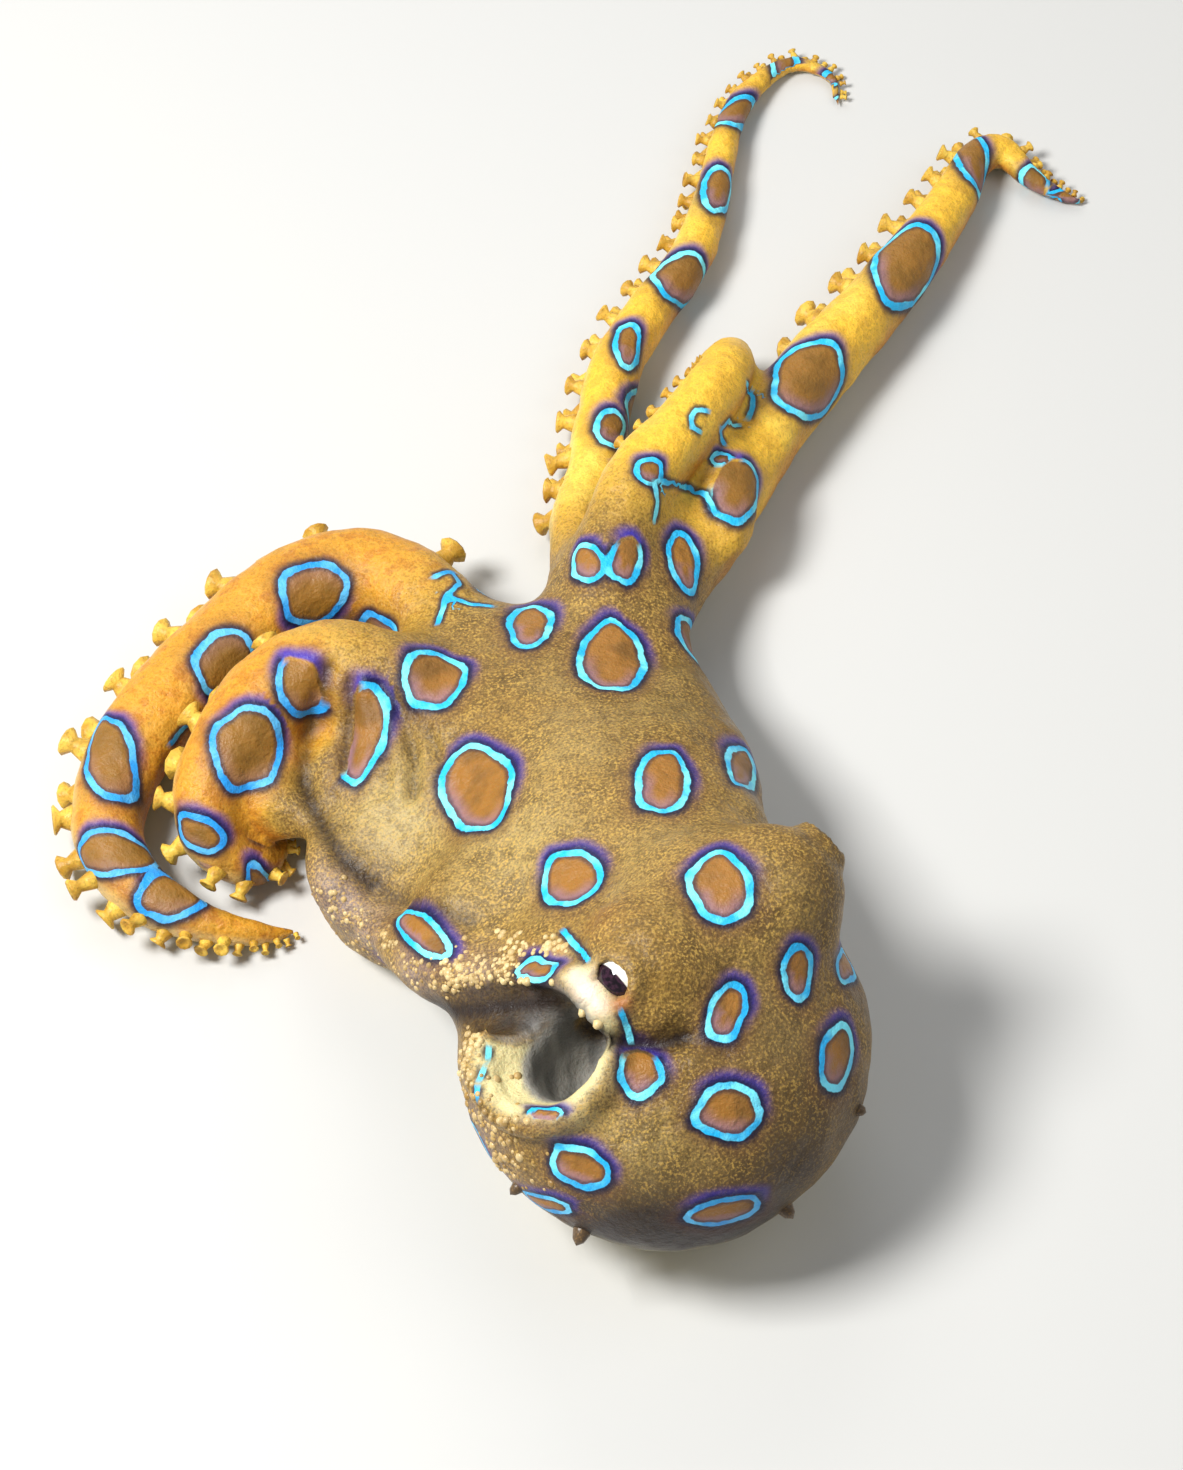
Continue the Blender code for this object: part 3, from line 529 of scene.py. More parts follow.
# The last number of each crease is how dark it is painted: painted shade in the fold
CREASES = {  # pixels along the line, half width and depth in mm, darkness
    "under_mound": ([(588, 1026), (606, 1037), (630, 1043), (660, 1044), (684, 1036)], 1.0, 1.0, 1.0),
    "beside_mound": ([(684, 1036), (706, 1044), (722, 1052)], 0.8, 0.4, 0.4),
    "web_fold": ([(326, 668), (318, 700), (306, 745), (303, 780)], 0.9, 0.8, 0.8),
    "web_rim": ([(303, 780), (311, 804), (326, 832), (343, 859), (372, 884)], 1.0, 0.8, 0.9),
    "web_rim_far": ([(372, 884), (397, 900), (432, 909), (470, 922)], 0.9, 0.5, 0.6),
    "fold_a": ([(349, 681), (350, 706), (347, 738), (343, 767)], 0.55, 0.7, 0.6),
    "fold_b": ([(379, 681), (397, 710), (411, 742), (414, 767), (411, 795)], 0.65, 0.85, 0.4),
    "fold_c": ([(397, 700), (425, 729), (439, 756)], 0.55, 0.6, 0.3),
    "fold_d": ([(330, 800), (352, 835), (388, 868)], 0.8, 0.5, 0.2),
    "fold_e": ([(372, 700), (384, 740), (386, 790)], 0.5, 0.4, 0.15),
    "brow": ([(588, 925), (578, 945), (590, 962)], 0.8, 0.35, 0.2),
    "gape": ([(434, 1004), (456, 1012), (478, 1010), (504, 1006), (532, 1004), (556, 1000)],
             1.9, 0.35, 1.0),
    "gape_wall": ([(488, 1020), (502, 1028), (524, 1029), (545, 1020), (562, 1010)],
                  1.1, 0.0, 0.6),
}
STEPS_SMOOTHED = {  # pixels along the line, and half width in mm
    "web_step": ([(480, 808), (445, 850), (410, 895), (385, 925)], 4.0),
    "lip_edge": ([(484, 1014), (498, 1022), (515, 1027), (535, 1024)], 2.2),
}
STEP_SMOOTHING = 200
SWELLINGS = {
    "below_eye": ((590, 1000), 1.9, 0.9),
    "corner_of_eye": ((572, 978), 1.5, 0.6),
    "under_cheek": ((607, 1018), 1.4, 0.5),
}


def skin_tree():
    """A search tree of the skin as it is now."""
    faces = [list(p.vertices) for p in skin.data.polygons]
    return BVHTree.FromPolygons((points_of(skin)).tolist(), faces)


def seen(tree, x, y, slack=0):
    """Place and normal of the skin behind a pixel of the photograph, or close beside it."""
    for reach in range(0, slack + 1, 3):
        for turn in range(0, 360, 45) if reach else (0,):
            right = reach * math.cos(math.radians(turn)) + x - PHOTO_WIDTH / 2
            down = reach * math.sin(math.radians(turn)) + y - PHOTO_HEIGHT / 2
            ray = Vector(LOOK + (right * LOOK_RIGHT - down * LOOK_UP) / PIXELS)
            place, normal, _, _ = tree.ray_cast(Vector(CAMERA_PLACE), ray)
            if place is not None:
                return np.array(place), np.array(normal)
    return None


def seen_line(tree, pixels, step=5.0):
    """Places on the skin along a line of pixels."""
    places = []
    for (x0, y0), (x1, y1) in zip(pixels, pixels[1:]):
        count = max(2, round(math.hypot(x1 - x0, y1 - y0) / step))
        for t in np.linspace(0, 1, count):
            hit = seen(tree, x0 + (x1 - x0) * t, y0 + (y1 - y0) * t)
            if hit is not None:
                places.append(hit[0])
    return np.array(places)


def distance_to(points, places):
    """Distance from each point to the nearest of some places."""
    nearest = np.full(len(points), 99.0)
    for place in places:
        nearest = np.minimum(nearest, np.linalg.norm(points - place, axis=1))
    return nearest


tree = skin_tree()
points = points_of(skin)
softness = np.zeros(len(points))
for line, width in STEPS_SMOOTHED.values():
    away = distance_to(points, seen_line(tree, line))
    softness = np.maximum(softness, np.exp(-(away / width) ** 2))
soften(skin, STEP_SMOOTHING, softness)
tree = skin_tree()
points = points_of(skin)
normals = normals_of(skin)
for line, width, depth, _ in CREASES.values():
    share = np.exp(-(distance_to(points, seen_line(tree, line)) / width) ** 2)
    points -= normals * (share * depth)[:, None]
for spot, width, height in SWELLINGS.values():
    share = np.exp(-(distance_to(points, [seen(tree, *spot)[0]]) / width) ** 2)
    points += normals * (share * height)[:, None]
move_points(skin, points)
skin.data.shade_smooth()


# Ring markings
# Each ring is a brown spot in the skin with an iridescent blue line round it and a
# dark edge outside. Rings that the photograph shows are placed where it shows them,
# and the sides that it hides get rings of the same kind and spacing.
# Pixel centre, seen width and height, tilt, then the point and gap of the outline
RINGS = {
    "web_top": (612, 660, 68, 72, 0),
    "web_upper_left": (434, 678, 66, 58, 0),
    "web_middle": (479, 790, 70, 92, 0),
    "web_left": (364, 735, 40, 104, -12, ("gap", 175, 68)),
    "neck_right": (663, 780, 52, 68, -15),
    "brow": (571, 880, 64, 52, 25),
    "right_brow": (720, 885, 60, 76, 20),
    "right_web_edge": (742, 768, 32, 48, 0),
    "web_far": (530, 625, 44, 44, 0),
    "crown_far_left": (586, 562, 34, 40, 10),
    "crown_far_right": (626, 560, 32, 50, -15, ("gap", 100, 50)),
    "left_web_edge": (420, 932, 66, 34, -38, ("point", 180, 0.2)),
    "eye_corner": (534, 969, 38, 28, 0),
    "under_crease": (640, 1072, 44, 50, 0, ("gap", 90, 55)),
    "mound_right": (727, 1012, 36, 60, -20),
    "head_right": (798, 972, 30, 56, -5),
    "far_right": (846, 966, 22, 34, 0),
    "mantle_right": (838, 1057, 36, 64, -12),
    "mantle_middle": (729, 1112, 66, 58, 0),
    "mantle_left": (579, 1168, 64, 40, -15),
    "mantle_lip": (545, 1114, 38, 14, 0, ("gap", 270, 80)),
    "mantle_low_left": (545, 1204, 52, 14, -15),
    "mantle_low_right": (725, 1212, 76, 28, 12),
    "root_right_3": (684, 562, 28, 66, 14),
    "right_3_bend": (738, 488, 54, 72, -14, ("gap", 140, 48)),
    "right_3_loop": (650, 471, 28, 28, 0),
    "right_3_middle": (812, 377, 78, 86, 30),
    "right_3_outer": (909, 262, 76, 92, -20),
    "right_3_knee": (974, 156, 36, 74, 15),
    "right_3_tip": (1034, 182, 32, 30, 0, ("gap", 300, 50)),
    "right_3_end": (1070, 190, 24, 24, 0),
    "right_2_low": (721, 459, 18, 15, 0),
    "right_1_near": (612, 428, 30, 40, 0),
    "right_1_low": (628, 345, 26, 50, 0),
    "right_1_middle": (687, 278, 58, 60, 0),
    "right_1_upper": (720, 188, 34, 50, 0),
    "right_1_bend": (740, 111, 50, 34, 0),
    "right_1_outer": (784, 62, 26, 26, 0, ("gap", 90, 60)),
    "right_1_tip": (832, 78, 18, 18, 0),
    "right_1_end": (838, 106, 14, 14, 0),
    "left_2_top": (248, 748, 70, 88, 0),
    "left_2_root": (302, 688, 46, 66, 24, ("gap", 25, 75)),
    "left_1_upper": (106, 752, 58, 84, 8, ("point", -55, 0.3)),
    "left_1_middle": (104, 852, 88, 54, 0, ("point", 0, 0.45)),
    "left_1_lower": (172, 893, 70, 44, 0),
    "left_2_lower": (197, 834, 56, 34, -25),
    "left_4_far": (262, 887, 26, 28, 0),
}
STROKES = {
    "brow_line": [(564, 932), (575, 945), (588, 960)],
    "cheek_line": [(622, 1014), (627, 1026), (630, 1038)],
    "loop_tail": [(664, 482), (690, 488), (706, 494), (714, 510)],
    "right_2_hook": [(706, 411), (697, 409), (691, 417), (692, 427), (699, 431)],
    "right_2_hook_far": [(723, 442), (721, 430), (728, 421), (738, 425)],
    "right_2_arc": [(747, 384), (753, 394), (753, 406), (749, 416)],
    "loop_drop": [(655, 486), (658, 502), (655, 518)],
    "web_mark_top": [(436, 576), (452, 572), (460, 584), (446, 596), (470, 604), (490, 606)],
    "web_mark_leg": [(446, 596), (438, 622)],
    "left_1_tail": [(136, 795), (148, 815), (156, 832)],
    "left_1_arc": [(186, 726), (172, 742), (174, 768)],
    "lip_dot": [(489, 1050), (488, 1056)],
    "lip_dot_middle": [(483, 1070), (481, 1076)],
    "lip_dot_low": [(477, 1089), (477, 1094)],
}
RING_SEED = 20
LINE_WIDTH = 0.57
STROKE_WIDTH = 0.46
SEEN_TO_LINE = 0.93  # the seen size is that of the line's outer edge
SMALL_RING = 2.0  # a ring narrower than this, in mm from its centre, has a thinner line
FLATTEST_VIEW = 0.4
HIDDEN_SPACING = 9.5
REEF_COVER = ((250, 560, 150, 115), (560, 440, 78, 95), (480, 590, 70, 35))
HIDDEN_HALF = (2.0, 3.1)
ARM_RING_SPACING = 2.7
UNDER_WEB_SPACING = 4.5
FAR = 9.0


class Ring:
    """One ring: its place on the skin and the shape of its outline."""

    def __init__(self, centre, normal, right, up, shape, mark=None, seed=0):
        """The outline is the unit circle of shape @ (right, up) round the centre."""
        self.centre = centre
        self.normal = normal
        self.axes = np.stack([right, up])
        self.shape = shape
        self.mark = mark
        self.size = 1 / np.linalg.svd(shape, compute_uv=False).mean()
        self.scale = max(1.0, (SMALL_RING / self.size) ** 0.5)
        dice = np.random.default_rng(seed)
        self.waves = [(k, dice.uniform(0.4, 1.0) * 0.095 / k**0.7, dice.uniform(0, 6.3))
                      for k in (2, 3, 4, 5, 7)]

    def outline(self, angle):
        """How far the wobbly outline reaches at an angle."""
        reach = np.ones_like(angle)
        if self.mark and self.mark[0] == "point":
            toward = np.cos(angle - math.radians(self.mark[1]))
            reach += self.mark[2] * (np.maximum(toward, 0.0) ** 3 - 0.3)
        for k, depth, turn in self.waves:
            reach += depth * np.sin(k * angle + turn)
        return reach


def seen_ring(tree, name, index):
    """A ring from the place and size at which the photograph shows it."""
    x, y, wide, high, tilt, *mark = RINGS[name]
    hit = seen(tree, x, y, 30)
    if hit is None:
        raise ValueError(f"ring {name} misses the skin")
    centre, normal = hit
    near = np.linalg.norm(points - centre, axis=1) < 2.0
    normal = normals[near].mean(0)
    normal /= np.linalg.norm(normal)
    right = LOOK_RIGHT - normal * (LOOK_RIGHT @ normal)
    right /= np.linalg.norm(right)
    up = np.cross(normal, right)
    per_mm = PIXELS / ((centre - CAMERA_PLACE) @ LOOK)
    view = np.array([[right @ LOOK_RIGHT, up @ LOOK_RIGHT], [right @ LOOK_UP, up @ LOOK_UP]])
    left, stretch, turned = np.linalg.svd(view)
    view = left @ np.diag(np.maximum(stretch, FLATTEST_VIEW)) @ turned
    turn = math.radians(tilt)
    spin = np.array([[math.cos(turn), math.sin(turn)], [-math.sin(turn), math.cos(turn)]])
    shape = np.diag([2 / wide, 2 / high]) @ spin @ view * per_mm / SEEN_TO_LINE
    return Ring(centre, normal, right, up, shape, mark[0] if mark else None, RING_SEED + index)


def placed_ring(centre, normal, along, half, seed):
    """A ring laid on the skin along a given direction, with its half sizes in mm."""
    right = along - normal * (along @ normal)
    right /= np.linalg.norm(right)
    return Ring(centre, normal, right, np.cross(normal, right), np.diag([1 / half[0], 1 / half[1]]),
                None, seed)


points = points_of(skin)
normals = normals_of(skin)
tree = skin_tree()
rings = [seen_ring(tree, name, index) for index, name in enumerate(RINGS)]


def crowded(centre, spacing):
    """Whether another ring is too near."""
    return any(np.linalg.norm(centre - ring.centre) < spacing + ring.size for ring in rings)


def on_show(centre, normal):
    """Whether the photograph shows a place: in view, and not behind the reef."""
    ray = centre - CAMERA_PLACE
    reach = np.linalg.norm(ray)
    if normal @ ray / reach > 0.55:
        return False
    hit = tree.ray_cast(Vector(CAMERA_PLACE), Vector(ray / reach))[0]
    if hit is not None and np.linalg.norm(np.array(hit) - centre) > 2.5:
        return False
    x = PHOTO_WIDTH / 2 + PIXELS * (ray @ LOOK_RIGHT) / (ray @ LOOK)
    y = PHOTO_HEIGHT / 2 - PIXELS * (ray @ LOOK_UP) / (ray @ LOOK)
    return not any(((x - cx) / w) ** 2 + ((y - cy) / h) ** 2 < 1 for cx, cy, w, h in REEF_COVER)


for name, arm in arms.items():
    s = arm.stub
    side = 1
    while s < arm.length - 1.5:
        radius = arm.radius(s)
        tangent = arm.frame(s)[0]
        spacing = max(radius * 0.85, UNDER_WEB_SPACING if name in UNDER_WEB else 0.0)
        for turn in (150, -150) if radius > 2.4 else (180,):
            out = arm.skin_direction(s + side * radius * 0.3, arm.roll + turn)
            hit, normal, _, _ = tree.find_nearest(Vector(arm.centre(s) + out * radius))
            hit, normal = np.array(hit), np.array(normal)
            if hit[2] < 1.0 or crowded(hit, spacing) or on_show(hit, normal):
                continue
            half = (min(0.85 * radius, 2.9), min(0.7 * radius, 2.4))
            rings.append(placed_ring(hit, normal, tangent, half, len(rings)))
        side = -side
        s += ARM_RING_SPACING * radius
dice = np.random.default_rng(RING_SEED)
toward_camera = (CAMERA_PLACE - points) / np.linalg.norm(CAMERA_PLACE - points, axis=1)[:, None]
hidden = (normals * toward_camera).sum(1) < -0.25
on_trunk = free_arm(points) < 0.2
for hollow in (CAVITY, LIP_BOWL, GAPE):
    on_trunk &= np.linalg.norm(points - np.array(hollow[0]), axis=1) > 9.5
for mound, way in EYES:
    on_trunk &= np.linalg.norm(points - np.array(mound + way * LID_HEIGHT), axis=1) > 4.6
candidates = np.nonzero(hidden & on_trunk & (points[:, 2] > 3.2) & (normals[:, 2] > -0.5))[0]
for pick in dice.permutation(candidates)[:6000]:
    if not crowded(points[pick], HIDDEN_SPACING - 4.0):
        half = dice.uniform(*HIDDEN_HALF) * np.array([1.0, dice.uniform(0.75, 1.0)])
        rings.append(placed_ring(points[pick], normals[pick], dice.normal(size=3), half, len(rings)))

ring_mm = np.full(len(points), FAR)
ring_up = np.zeros(len(points))
ring_on = np.ones(len(points))
for ring in rings:
    offset = points - ring.centre
    reach = np.linalg.norm(offset, axis=1)
    close = np.nonzero((reach < ring.size * 2.2 + 3.0) & (normals @ ring.normal > -0.3))[0]
    offset, reach = offset[close], reach[close]
    flat = offset - np.outer(offset @ ring.normal, ring.normal)
    flat *= (reach / (np.linalg.norm(flat, axis=1) + 1e-9))[:, None]
    inner = flat @ ring.axes.T @ ring.shape.T
    size = np.linalg.norm(inner, axis=1) + 1e-9
    angle = np.arctan2(inner[:, 1], inner[:, 0])
    slope = np.linalg.norm((inner / size[:, None]) @ ring.shape, axis=1)
    distance = (size / ring.outline(angle) - 1) / slope * ring.scale
    strength = np.ones(len(close))
    if ring.mark and ring.mark[0] == "gap":
        away = np.abs((np.degrees(angle) - ring.mark[1] + 180) % 360 - 180)
        strength = smooth_step(ring.mark[2] - 12, ring.mark[2] + 12, away)
    better = distance < ring_mm[close]
    ring_mm[close[better]] = distance[better]
    ring_up[close[better]] = np.sin(angle[better] + 0.35)
    ring_on[close[better]] = strength[better]
stroke_mm = np.full(len(points), FAR)
stroke_on = np.zeros(len(points))
nearest = np.full(len(points), FAR)
for line in STROKES.values():
    places = seen_line(tree, line, 12.0)
    for start, end in zip(places, places[1:]):
        span = np.linalg.norm(end - start) + 1e-9
        tangent = (end - start) / span
        offset = points - start
        along = offset @ tangent
        aside = offset - np.outer(along, tangent)
        beyond_end = np.maximum(np.maximum(-along, along - span), 0.0)
        distance = np.linalg.norm(aside, axis=1)
        total = np.hypot(distance, beyond_end)
        better = total < nearest
        side = np.sign((aside * np.cross(normals, tangent)).sum(1))
        nearest[better] = total[better]
        stroke_mm[better] = (distance * side)[better]
        beside = smooth_step(0.5, 0.1, beyond_end) * smooth_step(1.0, 0.75, total)
        stroke_on[better] = beside[better]


# Tones of the skin
# Pigment sacks and muscle give the skin its ground colours: golden brown on the
# body, orange yellow on the arms, and cream toward the suckers, the web's edge and
# the opening's lip. Painted shade in brown and mauve grey darkens the right side, the
# low mantle, the creases, the gape and the arms' lower flanks, and painted light
# brightens the web's left side.
PALE_SPOTS = {  # pixel, half width in mm, strength
    "below_eye": ((592, 1000), 1.9, 0.9),
    "corner_of_eye": ((578, 975), 1.3, 0.9),
    "under_cheek": ((608, 1020), 1.3, 0.8),
    "left_cheek": ((556, 960), 1.6, 0.5),
    "lip_right": ((618, 1070), 1.6, 0.5),
    "lip_low": ((560, 1104), 2.0, 0.7),
}
BLUSH_SPOTS = {
    "cheek": ((585, 990), 1.3, 0.95),
    "cheek_top": ((573, 975), 0.8, 0.6),
    "cheek_low": ((597, 1004), 1.0, 0.8),
}
RUST_SPOTS = {
    "under_eye": ((620, 1004), 0.9, 0.9),
    "eye_corner_ring": ((560, 950), 1.0, 0.4),
    "brow_ring": ((600, 915), 2.0, 0.2),
}
# Sandy pale tone on the web's left, the neck and the mantle, partly real tone and partly painted light
# from the lamp on the left
SAND_AND_LIGHT_SPOTS = {
    "web_left": ((400, 815), 5.5, 0.9),
    "web_left_far": ((355, 770), 4.0, 0.35),
    "web_middle": ((520, 850), 6.0, 0.65),
    "web_centre": ((560, 750), 5.0, 0.35),
    "web_edge": ((480, 890), 4.0, 0.45),
    "neck": ((640, 850), 4.5, 0.3),
    "mantle_left": ((640, 1150), 5.0, 0.3),
}
# Painted shade: dark brown patches on the right of the web and head and low on the mantle, where the
# light falls off
SHADE_BROWN_SPOTS = {
    "web_right": ((700, 700), 5.0, 0.35),
    "head_right": ((830, 900), 5.0, 0.4),
    "mantle_top": ((780, 1040), 5.0, 0.5),
    "mantle_mid": ((690, 1060), 3.5, 0.35),
    "mantle_low": ((570, 1235), 5.5, 1.3),
    "mantle_low_middle": ((650, 1243), 5.5, 1.6),
    "mantle_low_right": ((740, 1232), 5.5, 1.3),
    "mantle_left_side": ((480, 1130), 3.5, 0.5),
}
# Painted shade: mauve grey low on the mantle and down its right side
SHADE_MAUVE_SPOTS = {
    "mantle_low_right": ((800, 1170), 6.0, 0.8),
    "mantle_low": ((700, 1238), 6.0, 1.0),
    "mantle_low_left": ((600, 1236), 6.0, 1.0),
    "mantle_far_right": ((855, 1120), 5.0, 0.7),
    "mantle_right": ((866, 1000), 4.0, 0.5),
}
INNER_SPOTS = {
    "gape_wall": ((508, 1022), 1.2, 0.8),
    "gape_wall_middle": ((532, 1022), 1.5, 1.1),
    "gape_wall_near": ((555, 1014), 1.5, 1.1),
}
ROSY_SPOTS = {
    "web_rim_left": ((335, 905), 3.4, 0.9),
    "web_rim_low": ((370, 945), 3.2, 0.9),
    "web_rim_middle": ((415, 968), 3.0, 0.85),
    "web_rim_near": ((475, 975), 2.4, 0.7),
    "web_rim_corner": ((530, 988), 1.8, 0.5),
    "mantle_edge": ((480, 1130), 3.0, 0.5),
    "mantle_edge_low": ((515, 1185), 3.0, 0.5),
}


def spots(named):
    """Soft patches round named places."""
    share = np.zeros(len(points))
    for spot, width, strength in named.values():
        hit = seen(tree, *spot)
        if hit is not None:
            away = np.linalg.norm(points - hit[0], axis=1)
            share = np.maximum(share, strength * np.exp(-(away / width) ** 2))
    return share


arm_share = free_arm(points)
index, s, from_skin = nearest_arm(points).T
stubs = np.array([arm.stub for arm in arms.values()])[index.astype(int)]
under_web = np.array([name in UNDER_WEB for name in arms])[index.astype(int)]
yellow = smooth_step(-9.0, 4.0, s - stubs) * smooth_step(3.5, 0.8, from_skin)
yellow *= np.where(under_web, smooth_step(3.4, 2.2, points[:, 2]), 1.0)
amber = np.array([name.startswith("left") for name in arms])[index.astype(int)] * yellow
sucker_side = np.zeros(len(points))
for number, arm in enumerate(arms.values()):
    own = np.nonzero((index == number) & (arm_share > 0.02))[0]
    for row in own:
        out = points[row] - arm.centre(s[row])
        out /= np.linalg.norm(out) + 1e-9
        sucker_side[row] = out @ arm.skin_direction(s[row], arm.roll)


def beyond(hollow, outside, inside):
    """How far each point lies within a hollow, from 0 outside it to 1 on its wall."""
    centre, half, way = hollow
    turn = np.array(way.to_track_quat("Z", "Y").to_matrix())
    local = (points - np.array(centre)) @ turn / np.array(half)
    return smooth_step(outside, inside, np.linalg.norm(local, axis=1))


cavity_share = beyond(GAPE, 1.5, 1.1) * beyond(LIP_BOWL, 1.3, 1.0)
cavity_share = np.maximum(cavity_share, beyond(CAVITY, 1.18, 1.04))
cavity_share = np.maximum(cavity_share, np.clip(spots(INNER_SPOTS), 0, 1))
pale = np.maximum(spots(PALE_SPOTS), 0.5 * smooth_step(0.45, 0.95, sucker_side) * arm_share)
pale = np.maximum(pale, 0.7 * smooth_step(-0.2, -0.8, normals[:, 2]))
pale = np.maximum(pale, beyond(LIP_BOWL, 1.4, 1.05) * (1 - beyond(GAPE, 1.6, 1.2)))
# Painted shade: the gape and the creases are darkened where shade falls into them
dark = 0.8 * beyond(GAPE, 1.15, 1.0)
for line, width, _, darkness in CREASES.values():
    away = distance_to(points, seen_line(tree, line))
    dark = np.maximum(dark, darkness * np.exp(-(away / (width * 0.9)) ** 2))
ATTRIBUTES = {
    "ring_mm": ring_mm,
    "ring_up": ring_up,
    "ring_on": ring_on,
    "stroke_mm": stroke_mm,
    "stroke_on": stroke_on,
    "yellow": yellow,
    "amber": amber,
    # Painted shade: the arms' lower flanks, turned from the light, are tinted a deeper orange
    "shaded_flank": smooth_step(0.55, -0.1, normals[:, 2]) * (1 - smooth_step(0.0, 0.5, sucker_side)),
    "pale": np.clip(pale, 0, 1),
    "sand_and_light": np.clip(spots(SAND_AND_LIGHT_SPOTS), 0, 1),
    "shade_brown": np.clip(spots(SHADE_BROWN_SPOTS), 0, 1),
    "shade_mauve": np.clip(spots(SHADE_MAUVE_SPOTS), 0, 1),
    "rosy": np.clip(spots(ROSY_SPOTS), 0, 1),
    "blush": np.clip(spots(BLUSH_SPOTS), 0, 1),
    "rust": np.clip(spots(RUST_SPOTS), 0, 1),
    "dark": np.clip(dark, 0, 1),
    "inner": cavity_share,
}
for name, values in ATTRIBUTES.items():
    layer = skin.data.attributes.new(name, "FLOAT", "POINT")
    layer.data.foreach_set("value", values.astype(np.float32))


# Skin finish
# Moist octopus skin has a soft sheen, a fine grain of golden pigment dots about
# 0.2 mm wide, small wrinkles about 1 mm apart, and a little light bleeding through.
def linear(colour):
    """The linear colour of an sRGB hex colour."""
    parts = [int(colour[k:k + 2], 16) / 255 for k in (1, 3, 5)]
    return (*[c / 12.92 if c <= 0.04045 else ((c + 0.055) / 1.055) ** 2.4 for c in parts], 1.0)


def add(tree, kind, settings, inputs, output=0):
    """Add a shader node with its settings and inputs, and give one of its outputs."""
    node = tree.nodes.new(kind)
    for key, value in settings.items():
        setattr(node, key, value)
    for key, value in inputs.items():
        if isinstance(value, bpy.types.NodeSocket):
            tree.links.new(value, node.inputs[key])
        else:
            node.inputs[key].default_value = value
    return node.outputs[output]


MIX = "ShaderNodeMix"
MATH = "ShaderNodeMath"
RANGE = "ShaderNodeMapRange"
NOISE = "ShaderNodeTexNoise"
FACTOR, FIRST, SECOND, MIXED = 0, 6, 7, 2
GOLD = "#8c6c32"
GOLD_DARK = "#4d3919"
GOLD_LIGHT = "#cfa650"
SAND = "#b59f66"
PAINTED_SHADE_BROWN = "#382a1a"
ORANGE = "#ffc83a"
ORANGE_DEEP = "#b98424"
ORANGE_LIGHT = "#fbdc60"
AMBER = "#c97f1e"
CREAM = "#e8daa0"
PAINTED_SHADE_MAUVE = "#2b2325"
BLUSH = "#ecd6c6"
ROSY = "#94807a"
RUST = "#a5602a"
PAINTED_CREASE_SHADE = "#1e100a"
INSIDE_GREY = "#74726c"
SPOT_BROWN = "#9c6a2a"
SPOT_LILAC = "#947080"
OLIVE = "#86601a"
SHADED_FLANK_ORANGE = "#c2701e"
HAZE = "#5c3428"
EDGE_NAVY = "#0d1030"
HALO_VIOLET = "#322ba8"
LINE_BLUE = "#22b8ee"
LINE_LIGHT = "#7ff0ff"
LINE_SHADED_BLUE = "#2a72e0"

skin_finish = bpy.data.materials.new("moist_skin")
skin_finish.use_nodes = True
nodes = skin_finish.node_tree
shader = nodes.nodes["Principled BSDF"]
place = add(nodes, "ShaderNodeTexCoord", {}, {}, 3)
named = {
    name: add(nodes, "ShaderNodeAttribute", {"attribute_name": name}, {}, 2)
    for name in ATTRIBUTES
}
grain = add(nodes, NOISE, {}, {
    "Vector": place, "Scale": 1 / 0.00022, "Detail": 4.0, "Roughness": 0.6})
patches = add(nodes, NOISE, {}, {"Vector": place, "Scale": 1 / 0.0030, "Detail": 3.0})
clouds = add(nodes, NOISE, {}, {"Vector": place, "Scale": 1 / 0.009, "Detail": 2.0})


def blended(share, first, second):
    """One colour laid over another by a share."""
    first, second = (linear(c) if isinstance(c, str) else c for c in (first, second))
    return add(nodes, MIX, {"data_type": "RGBA"}, {FACTOR: share, FIRST: first, SECOND: second}, MIXED)


def stepped(value, low, high, top=1.0):
    """A smooth rise of a value from 0 to a top."""
    return add(nodes, RANGE, {"interpolation_type": "SMOOTHSTEP"}, {
        "Value": value, "From Min": low, "From Max": high, "To Min": 0.0, "To Max": top})


def times(first, second):
    """The product of two values."""
    return add(nodes, MATH, {"operation": "MULTIPLY", "use_clamp": True}, {0: first, 1: second})


ground = blended(stepped(clouds, 0.45, 0.70, 0.25), GOLD, SAND)
# Sandy tone, partly painted light brightening the web's left side
ground = blended(named["sand_and_light"], ground, SAND)
# Painted shade in dark brown on the right side and the low mantle
ground = blended(named["shade_brown"], ground, PAINTED_SHADE_BROWN)
ground = blended(stepped(patches, 0.52, 0.74, 0.4), ground, GOLD_DARK)
mottling = add(nodes, NOISE, {}, {"Vector": place, "Scale": 1 / 0.0014, "Detail": 3.0})
amber = add(nodes, RANGE, {}, {"Value": named["amber"], "To Min": 0.35, "To Max": 1.0})
arm_ground = blended(stepped(clouds, 0.48, 0.66, 0.6), ORANGE, ORANGE_LIGHT)
arm_ground = blended(times(stepped(mottling, 0.46, 0.62), amber), arm_ground, ORANGE_DEEP)
arm_ground = blended(times(named["amber"], 0.7), arm_ground, AMBER)
# Painted shade: deeper orange on the arms' lower flanks
arm_ground = blended(times(named["shaded_flank"], stepped(clouds, 0.35, 0.55, 0.8)), arm_ground, SHADED_FLANK_ORANGE)
ground = blended(named["yellow"], ground, arm_ground)
# Painted shade in mauve grey low on the mantle
ground = blended(named["shade_mauve"], ground, PAINTED_SHADE_MAUVE)
ground = blended(named["rosy"], ground, ROSY)
ground = blended(named["pale"], ground, CREAM)
body_share = add(nodes, RANGE, {}, {"Value": named["yellow"], "To Min": 0.85, "To Max": 0.4})
